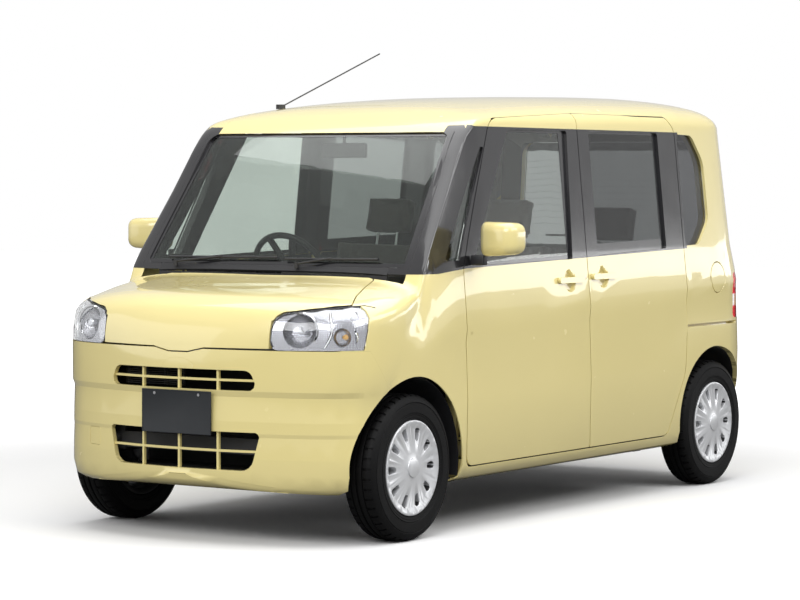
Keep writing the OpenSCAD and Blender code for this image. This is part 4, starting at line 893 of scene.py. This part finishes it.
LAMP_PIECES = [  # name, middle, steps, finish, section
    ("bulb_shield", (0.505, SKIN_NOSE + 0.096, 0.815), 32, satin,
     [(0, 0), (0.012, 0.001), (0.017, 0.006), (0.018, 0.022), (0.012, 0.026), (0.011, 0.050), (0, 0.050)]),
    ("main_ring", (0.505, skin_front(0.560, 0.815).y + 0.004, 0.815), 64, chrome,
     [(0.060, 0), (0.064, -0.002), (0.067, 0.002), (0.063, 0.006), (0.060, 0)]),
    ("round_ring", (0.644, ring_depth(0.644, 0.790, 0.039), 0.790), 48, chrome,
     [(0.033, 0), (0.036, -0.004), (0.039, -0.002), (0.038, 0.005), (0.033, 0)]),
    ("turn_bulb", (0.638, SKIN_NOSE + 0.202, 0.790), 32, amber,
     [(0, -0.018), (0.006, -0.017), (0.010, -0.011), (0.011, -0.002), (0.009, 0.008), (0.006, 0.020),
      (0, 0.020)]),
    ("oval_ring", (0.654, ring_depth(0.654, 0.856, 0.027), 0.856), 48, chrome,
     [(0.021, 0), (0.024, -0.003), (0.027, 0), (0.025, 0.004), (0.021, 0)]),
    ("side_bulb", (0.650, SKIN_NOSE + 0.213, 0.856), 24, bulb_clear,
     [(0, -0.010), (0.005, -0.009), (0.008, -0.004), (0.008, 0.003), (0.005, 0.012), (0, 0.012)])]
lamp_parts = [(turned(name, section, middle, "Y", steps), mat)
              for name, middle, steps, mat, section in LAMP_PIECES]
divider = [skin_front(0.588 + 0.022 * math.sin(math.pi * i / 12), 0.752 + 0.126 * i / 12, 0.013)
           for i in range(13)]
lamp_parts.append((tube("divider", divider, 0.0055, 12), chrome))
LAMP_OUTLINE = [(0.404, 0.752), (0.394, 0.775), (0.394, 0.815), (0.402, 0.845), (0.425, 0.868),
                (0.470, 0.878), (0.540, 0.888), (0.610, 0.897), (0.660, 0.903), (0.690, 0.895)]
lamp_parts.append((tube("lamp_edge", [skin_front(x, z, 0.010) for x, z in LAMP_OUTLINE], 0.0042, 8), black))
for part, mat in lamp_parts:
    worn(part, mat, "body", "mirror_face")
    worn(mirrored(part, part.name + "_right"), mat, "body", "mirror_face")
print("lamp parts", 2 * len(lamp_parts))

# %% [markdown]
# The front plate, the radiator and the grille
# The plate is blank slate with a fine raised rim and two bolts. Behind the grille openings a near-black
# backing paints the shade there, and the radiator's fins show on the car's right side.

# %% Plates with rims and bolts
PLATE_WIDE, PLATE_HIGH, PLATE_THICK = 0.330, 0.165, 0.0035


def plate(name, node, middle, facing, mat, slot_name):
    """A plate with a raised rim, two bolts and its bracket, on its CAD plate's place."""
    low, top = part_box(node)
    face, deep = (low[1], top[1]) if facing < 0 else (top[1], low[1])
    back = face - facing * PLATE_THICK
    obj = cube(name, (-PLATE_WIDE / 2, min(face, back), middle - PLATE_HIGH / 2),
               (PLATE_WIDE / 2, max(face, back), middle + PLATE_HIGH / 2))
    edit(obj)
    pick(obj, lambda co, n: n.y * facing > 0.9)
    bpy.ops.mesh.inset(thickness=0.004)
    bpy.ops.mesh.inset(thickness=0.002)
    bpy.ops.transform.translate(value=(0, -facing * 0.0012, 0))
    done()
    worn(smooth(bevelled(obj, 0.0008, 2), 40), mat, body_of(node), slot_name, node)
    bracket = block(name + "_bracket", (-0.06, min(deep, back), middle - 0.04),
                    (0.06, max(deep, back), middle + 0.04), 0.0008, 1)
    worn(bracket, black, body_of(node), "black_plastic")
    for x, side_name in ((-0.105, "_bolt_right"), (0.105, "_bolt_left")):
        bolt = turned(name + side_name, [(0, 0), (0.005, 0), (0.0055, 0.001), (0.0055, 0.003), (0, 0.003)],
                      (x, face - facing * 0.0032, middle + PLATE_HIGH / 2 - 0.015),
                      "Y" if facing > 0 else "-Y", 24)
        worn(bolt, steel, body_of(node), "bright_steel")


plate("front_number_plate", "front_plate", 0.497, -1, plate_dark, "plate_dark")
plate("rear_number_plate", "rear_plate", 0.790 + PLATE_HIGH / 2, 1, plate_pale, "plate_pale")

# %% Radiator, and a near-black backing that paints the shade behind the grille
# The backing and the tray stand for real black parts, and their near-black finish is painted shade inside and
# under the nose.
for name, low, high in (("grille_backing", (-0.37, -1.398, 0.262), (0.37, -1.392, 0.69)),
                        ("splash_tray", (-0.37, -1.640, 0.2660), (0.37, -1.395, 0.2705))):
    worn(block(name, low, high, 0.002), painted_shade_black, "body", "black_plastic")
fins = block("radiator_fins", (-0.30, -1.625, 0.592), (-0.03, -1.612, 0.5945), 0.0006, 1)
posts = block("radiator_posts", (-0.302, -1.611, 0.588), (-0.292, -1.600, 0.662), 0.001, 1)
for obj, count, step in ((fins, 9, (0, 0, 0.0075)), (posts, 4, (0.088, 0, 0))):
    modifier(obj, "ARRAY", count=count, use_relative_offset=False, use_constant_offset=True,
             constant_offset_displace=step)
    worn(obj, under, "body", "under_paint")
print("plates and radiator done")

# %% [markdown]
# Wheels and tyres
# One wheel cover and one tyre are modelled at the left front, then copied to the other three hubs. The
# cover is the CAD wheel with its slots bevelled, turned so that they lie as in the photograph. The tyre is
# spun from its section, with grooves round the tread, fine rings on the sidewall and cross cuts in the
# shoulders.

# %% Wheel covers
HUB_AT = {"front_left": (FRONT_HUB_X, FRONT_AXLE), "front_right": (-FRONT_HUB_X, FRONT_AXLE),
          "rear_left": (REAR_HUB_X, REAR_AXLE), "rear_right": (-REAR_HUB_X, REAR_AXLE)}
COVER_OUT = 0.036
cover = copied("wheel_front_left", "cover_front_left")
modifier(cover, "DECIMATE", decimate_type="DISSOLVE", angle_limit=math.radians(0.5))
smooth(bevelled(cover, 0.0016, 2, 50), 35)
cover.data.materials.append(silver)
cover.data.materials.append(wheel_steel)
for face in cover.data.polygons:
    radius = math.hypot(face.center.y - FRONT_AXLE, face.center.z - HUB_Z)
    if face.center.x < FRONT_HUB_X + COVER_OUT + 0.026 * (1 - min(1.0, radius / 0.18)):
        face.material_index = 1
only(cover)
bpy.ops.transform.rotate(value=math.radians(18), orient_axis="X",
                         center_override=(FRONT_HUB_X, FRONT_AXLE, HUB_Z))
place(cover)

# %% Tyres
WALL_X, GROOVE_R = 0.0725, 0.2745
section = [  # radius, distance from the middle
    (0.168, 0.055), (0.183, 0.063), (0.188, 0.0695), (0.197, 0.0712), (0.199, 0.0702), (0.201, 0.0716),
    (0.206, 0.0722), (0.208, 0.0700), (0.211, 0.0722), (0.230, WALL_X), (0.2455, 0.0722), (0.2480, 0.0695),
    (0.2510, 0.0716), (0.256, 0.0698), (0.2650, 0.0655), (0.2730, 0.0600), (0.2775, 0.0530), (0.2795, 0.0465)]
for low, top in ((0.0465, 0.0285), (0.0235, 0.0045)):
    section += [(0.2798, low), (0.281, low - 0.006), (0.281, top + 0.002), (0.2806, top),
                (GROOVE_R, top - 0.0008), (GROOVE_R, top - 0.0042)]
section[-1] = (GROOVE_R, 0.0004)
section += [(r, -h) for r, h in reversed(section)]
section.append(section[0])


def shoulder_cut(co, n):
    angle = math.degrees(math.atan2(co.y, co.z)) % 8
    return 0.0300 < abs(co.x) < 0.0575 and math.hypot(co.y, co.z) > 0.270 and 0 <= angle < 2


tyre = turned("tread_front_left", section, (0, 0, 0), "X", 180)
edit(tyre)
pick(tyre, shoulder_cut)
bpy.ops.mesh.extrude_region_shrink_fatten(TRANSFORM_OT_shrink_fatten={"value": -0.005})
done()
smooth(tyre, 30)
tyre.location = (FRONT_HUB_X, FRONT_AXLE, HUB_Z)
place(tyre)
tyre.data.materials.append(tyre_side)
for corner, (x, y) in HUB_AT.items():
    shift = (abs(x) - FRONT_HUB_X, y - FRONT_AXLE, 0)
    for model, kind, node, slot_name in ((cover, "cover_", "wheel_", "wheel_silver"),
                                         (tyre, "tread_", "tyre_", "tyre_rubber")):
        piece = model
        if x < 0:
            moved = copied_to(model, "moved", shift)
            piece = mirrored(moved, kind + corner)
            bpy.data.objects.remove(moved)
        elif corner != "front_left":
            piece = copied_to(model, kind + corner, shift)
        rides(piece, body_of(node + corner), slot_name, node + corner)
print("wheels", len(cover.data.polygons), "tyres", len(tyre.data.polygons))

# %% [markdown]
# Door mirrors
# The left mirror starts as a block on the CAD mirror's place. Its edges are bevelled until it is a soft
# pillow, its lower edge rises outwards, and the rear face is inset for the silvered glass. The front is
# slanted away from the pillar, so that the mirror clears it when the door opens. It is mirrored to the
# right.

# %% Door mirrors
MIRROR_IN, MIRROR_FRONT, MIRROR_LOW = 0.768, -0.8435, 1.0755
MIRROR_OUT, MIRROR_BACK, MIRROR_TOP = 0.957, -0.7225, 1.2145
shell = cube("mirror_shell_left", (MIRROR_IN, MIRROR_FRONT, MIRROR_LOW),
             (MIRROR_OUT, MIRROR_BACK, MIRROR_TOP))
edit(shell, "EDGE", "SELECT")
bpy.ops.mesh.bevel(offset=0.044, segments=7, profile=0.55)
bpy.ops.mesh.select_all(action="DESELECT")
mesh = bmesh.from_edit_mesh(shell.data)
for v in mesh.verts:
    out = (v.co.x - MIRROR_IN) / (MIRROR_OUT - MIRROR_IN)
    up = (v.co.z - MIRROR_LOW) / (MIRROR_TOP - MIRROR_LOW)
    v.co.z += 0.012 * out * (1 - up) - 0.004 * out * up
    if v.co.y < -0.735:
        v.co.y += 0.020 * out * out
    v.co.y = MIRROR_BACK + (v.co.y - MIRROR_BACK) * min(1.0, 0.395 + 0.60 * (v.co.x - MIRROR_IN) / 0.092)
bmesh.update_edit_mesh(shell.data)
bpy.ops.mesh.select_mode(type="FACE")
pick(shell, lambda co, n: n.y > 0.98)
bpy.ops.mesh.inset(thickness=0.003)
bpy.ops.transform.translate(value=(0, -0.006, 0))
bpy.ops.mesh.inset(thickness=0.002)
done()
smooth(shell, 55)
for mat in (paint, mirror_silver):
    shell.data.materials.append(mat)
for face in shell.data.polygons:
    face.material_index = int(face.normal.y > 0.98 and -0.740 < face.center.y < -0.7275)
foot = block("mirror_foot_left", (0.7195, -0.7570, 1.0425), (0.7815, -0.7240, 1.0815), 0.006, 3)
foot.data.materials.append(black)
for obj, kind, slot_name, stands_for in ((shell, "mirror_shell_", "body_paint", ["mirror_"]),
                                         (foot, "mirror_foot_", "black_plastic", [])):
    for piece, side_name in ((mirrored(obj, kind + "right"), "right"), (obj, "left")):
        rides(piece, "door_front_" + side_name, slot_name, *[node + side_name for node in stands_for])
print("mirrors done")

# %% [markdown]
# Rear details
# Fine heating wires run across the tailgate glass, a black handle bar sits over the plate, and the tail
# lamps get a pale band where the reversing lamp is.

# %% Heating wires, tailgate handle and tail lamps
wires = [tube("wire", [skin_rear(x / 100, 1.165 + i * 0.030, 0.0085) for x in range(-48, 49, 8)], 0.0005, 4)
         for i in range(11)]
worn(joined("heating_wires", wires), wire_brown, body_of("tailgate_glass"), "dark_glass")
handle = skin_rear(0.0, 0.985)
bar = block("tailgate_handle", (-0.24, handle.y - 0.030, handle.z - 0.016),
            (0.24, handle.y + 0.004, handle.z + 0.016), 0.007, 3)
worn(bar, black, "tailgate", "black_plastic")

REVERSING_LOW, REVERSING_TOP = 0.800, 0.858
tail_lamp = copied("tail_lamps", "tail_lamp_lenses")
for z in (REVERSING_LOW, REVERSING_TOP):
    cut_across(tail_lamp, (0, 0, z), (0, 0, 1))
guided_shading(tail_lamp)
worn(tail_lamp, red_lens, "body", "red_glass", "tail_lamps")
tail_lamp.data.materials.append(clear_lens)
for face in tail_lamp.data.polygons:
    if REVERSING_LOW < face.center.z < REVERSING_TOP:
        face.material_index = 1
print("rear done")

# %% [markdown]
# Seats
# Each pad starts as a slightly small block with rounded corners and raised side bolsters. It is remeshed
# evenly and blown up by the cloth simulation, so its sides pull in between the corners. Then the sewn
# channels are drawn in, and the pad is copied to the other seat.

# %% Padded pieces
def padded_block(name, low, high, bolster=0.0, front=0.0, voxel=0.009):
    """A soft block. bolster raises its two long sides, and front rounds its front edge down."""
    obj = cube(name, low, high)
    edit(obj, action="SELECT")
    bpy.ops.mesh.subdivide(number_cuts=7)
    mesh = bmesh.from_edit_mesh(obj.data)
    size = Vector(high) - Vector(low)
    middle = (Vector(high) + Vector(low)) / 2
    for v in mesh.verts:
        u = abs(v.co.x - middle.x) / (size.x / 2)
        if v.co.z > middle.z:
            v.co.z += bolster * (max(0.0, u - 0.55) / 0.45) ** 1.5 - bolster * 0.3 * (1 - u)
            w = max(0.0, (low[1] + 0.12 - v.co.y) / 0.12)
            v.co.z -= front * w * w
    bmesh.update_edit_mesh(obj.data)
    done()
    bevelled(obj, 0.022, 3, 60)
    modifier(obj, "REMESH", mode="VOXEL", voxel_size=voxel)
    return obj


def puffed(obj, cap=0.012):
    """Blows a pad up with the cloth simulation, and holds each point within a cap of where it started."""
    rest = [v.co.copy() for v in obj.data.vertices]
    only(obj)
    cloth = obj.modifiers.new("cloth", "CLOTH")
    cloth.settings.use_pressure = True
    cloth.settings.uniform_pressure_force = 4.0
    cloth.settings.effector_weights.gravity = 0
    cloth.settings.quality = 4
    for step in range(1, 21):
        scene.frame_set(step)
    bpy.ops.object.modifier_apply(modifier="cloth")
    scene.frame_set(1)
    for v, start in zip(obj.data.vertices, rest):
        move = v.co - start
        if move.length > cap:
            v.co = start + move * (cap / move.length)
    return smooth(obj, 180)


def sewn(obj, across, along, deep=0.005, width=0.010):
    """Presses sewn channels into the top of a pad, at some places across it and along it."""
    for v in obj.data.vertices:
        if v.normal.z > 0.5:
            near = min([abs(v.co.x - x) for x in across] + [abs(v.co.y - y) for y in along] + [1.0])
            if near < width:
                v.co.z -= deep * (1 - near / width) ** 0.7


def leaned(obj, foot, tilt=14):
    """Stands a pad up that was made lying on its back: its Y becomes the height, and it leans back."""
    obj.rotation_euler = (math.radians(90 - tilt), 0, 0)
    obj.location = foot
    return place(obj)


seat_base = puffed(padded_block("seat_cushion", (-0.238, -0.415, 0.512), (0.238, 0.080, 0.590), 0.016, 0.028))
sewn(seat_base, (-0.150, 0.150), (-0.13,))
seat_back = puffed(padded_block("seat_back", (-0.236, -0.025, 0.012), (0.236, 0.545, 0.074), 0.014))
sewn(seat_back, (-0.150, 0.150), (0.28,))
head = puffed(padded_block("headrest", (-0.105, 0.588, 0.030), (0.105, 0.732, 0.098), 0.0, 0.0, 0.007), 0.008)
bench = puffed(padded_block("rear_cushion", (0.012, 0.482, 0.470), (0.548, 0.945, 0.590), 0.0, 0.030, 0.011))
sewn(bench, (0.150, 0.410), (0.70,))
bench_back = puffed(padded_block("rear_back", (0.012, 0.012, 0.010), (0.548, 0.508, 0.068), 0.008, 0.0,
                                 0.011))
sewn(bench_back, (0.150, 0.410), (0.26,))
leaned(seat_back, (0, DOOR_MID - 0.090, 0.560))
leaned(head, (0, DOOR_MID - 0.060, 0.560))
leaned(bench_back, (0, DOOR_REAR - 0.012, 0.560))

# %% Placing the pads on both sides
def pad(obj, name, shift, node):
    worn(copied_to(obj, name, shift), seat_cloth, "body", "cabin_fabric", node)


lean = math.radians(14)
for side_name, sign in (("left", 1), ("right", -1)):
    x = sign * 0.300
    pad(seat_base, "front_cushion_" + side_name, (x, 0, 0), "front_seats")
    pad(seat_back, "front_back_" + side_name, (x, 0, 0), "front_seats")
    pad(head, "front_headrest_" + side_name, (x, 0, 0), "front_seats")
    plinth = block("seat_plinth_" + side_name, (x - 0.188, DOOR_MID - 0.518, 0.2285),
                   (x + 0.188, DOOR_MID - 0.152, 0.508), 0.012, 3)
    edit(plinth)
    pick(plinth, lambda co, n: abs(n.x) > 0.9 and abs(co.z - 0.37) < 0.08)
    worn(inset(plinth, 0.03, 0.006), cabin, "body", "cabin_plastic", "front_seats")
    for dx, end in ((-0.050, "_a"), (0.050, "_b")):
        post_foot = Vector((x + dx, DOOR_MID - 0.128 + 0.510 * math.sin(lean),
                            0.577 + 0.500 * math.cos(lean)))
        post = tube("headrest_post_" + side_name + end,
                    [post_foot, post_foot + Vector((0, 0.025, 0.100))], 0.0055, 8)
        worn(post, steel, "body", "bright_steel", "front_seats")
    half_x = 0.0 if sign > 0 else -0.560
    pad(bench, "rear_cushion_" + side_name, (half_x, 0, 0), "rear_seats")
    pad(bench_back, "rear_back_" + side_name, (half_x, 0, 0), "rear_seats")
    pad(head, "rear_headrest_" + side_name, (sign * 0.280, DOOR_REAR - DOOR_MID + 0.088, -0.040),
        "rear_seats")
for obj in (seat_base, seat_back, head, bench, bench_back):
    bpy.data.objects.remove(obj)
rear_plinth = block("rear_plinth", (-0.398, DOOR_REAR - 0.478, 0.2285), (0.398, 0.882, 0.466), 0.012, 3)
worn(rear_plinth, cabin, "body", "cabin_plastic", "rear_seats")
print("seats done")

# %% [markdown]
# Dashboard and steering wheel
# The CAD dashboard keeps its block. A hood over the instruments, air vents, a blank centre panel and a
# glove box lid are added on its rear face, and the steering wheel gets its padded hub.

# %% Dashboard pieces
dash_y = DOOR_FRONT + 0.210
hood = block("instrument_hood", (-0.20, dash_y - 0.170, 0.972), (0.20, dash_y - 0.035, 0.9995), 0.012, 4)
worn(hood, cabin, "body", "cabin_plastic")
centre = block("centre_panel", (-0.105, dash_y - 0.004, 0.700), (0.105, dash_y + 0.004, 0.905), 0.003, 2)
edit(centre)
pick(centre, lambda co, n: n.y > 0.9)
worn(inset(centre, 0.012, 0.002), black, "body", "black_plastic")
for i, x in enumerate((-0.565, -0.140, 0.140, 0.565)):
    vent = turned("air_vent_%d" % i, [(0.024, 0.004), (0.027, 0.007), (0.031, 0.006), (0.033, 0.0),
                                      (0.030, -0.004), (0.024, 0.004)], (x, dash_y, 0.860), "Y", 40)
    worn(vent, satin, "body", "cabin_plastic")
glove = block("glove_box_lid", (0.20, dash_y - 0.004, 0.705), (0.56, dash_y + 0.003, 0.815), 0.003, 2)
worn(glove, cabin, "body", "cabin_plastic")

RIM_R, GRIP_R = 0.176, 0.0130
rim_section = [(RIM_R + GRIP_R * math.cos(a * math.pi / 8), GRIP_R * math.sin(a * math.pi / 8))
               for a in range(17)]
rim = turned("wheel_rim", rim_section, (0, 0, 0), "Z", 96)
boss = block("wheel_boss", (-0.062, -0.050, -0.040), (0.062, 0.050, 0.010), 0.016, 4)
spokes = [block("spoke", (0.045, -0.015, -0.012), (0.168, 0.015, 0.004), 0.006, 3)]
for angle in (180, 250, 290):
    spoke = twin_of(spokes[0], "spoke")
    bpy.ops.transform.rotate(value=math.radians(-angle), orient_axis="Z", center_override=(0, 0, 0))
    spokes.append(place(spoke))
helm = joined("steering_wheel_dressed", [rim, boss, *spokes])
helm.rotation_euler = (math.radians(-62), 0, 0)
helm.location = (-0.360, dash_y + 0.140, 0.985)
worn(smooth(place(helm), 50), black, body_of("steering_wheel"), "black_plastic", "steering_wheel")

# %% Interior mirror
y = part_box("interior_mirror")[0][1]
inner = block("interior_mirror_shell", (-0.111, y + 0.001, 1.4625), (0.111, y + 0.019, 1.5235), 0.008, 4)
stem = tube("mirror_stem", [(0, y + 0.010, 1.520), (0, y + 0.014, 1.5555)], 0.0065, 12)
worn(joined("inner_mirror", [inner, stem]), black, "body", "black_plastic", "interior_mirror")
inner_glass = block("inner_mirror_glass", (-0.104, y + 0.0182, 1.468), (0.104, y + 0.0198, 1.518), 0.0006, 1)
worn(inner_glass, mirror_silver, "body", "mirror_face")
print("cabin done")

# %% [markdown]
# Small trim outside
# Rubber mouldings frame the windscreen, and each front door has the lock barrel that a passer-by would
# notice.

# %% Windscreen mouldings and locks
edge = [skin_front(0.652 - 0.048 * i / 24, 1.016 + 0.548 * i / 24, 0.0035) for i in range(25)]
moulding = worn(tube("screen_moulding_left", edge, 0.0032, 8), rubber, "body", "black_plastic")
worn(mirrored(moulding, "screen_moulding_right"), rubber, "body", "black_plastic")
LOCK = [(0, 0.0015), (0.006, 0.0015), (0.0085, 0.001), (0.0095, -0.002), (0, -0.002)]
at = skin_side(0.143, 0.966)
for side_name, sign, axis in (("left", 1, "X"), ("right", -1, "-X")):
    lock = turned("lock_" + side_name, LOCK, (sign * at.x, at.y, at.z), axis, 32)
    worn(lock, satin, "door_front_" + side_name, "black_plastic")
print("trim done")

# %% [markdown]
# Finishes for the CAD nodes that keep their shape
# These nodes are already right in shape, so they only get a better finish.

# %% Plain finishes
KEPT = {"floor_pan": carpet, "cowl": black, "bulkhead": under, "front_frame": under, "arch_liners": black,
        "front_grilles": paint, "dashboard": cabin, "wipers": black, "rear_wiper": black, "antenna": black,
        "engine": cast, "exhaust": steel, "fuel_tank": under, "front_suspension": under,
        "rear_suspension": under, "knuckle_left": cast, "knuckle_right": cast}
for node, mat in KEPT.items():
    nodes[node].data.materials.clear()
    nodes[node].data.materials.append(mat)

# %% Finish
bpy.data.objects.remove(guide)
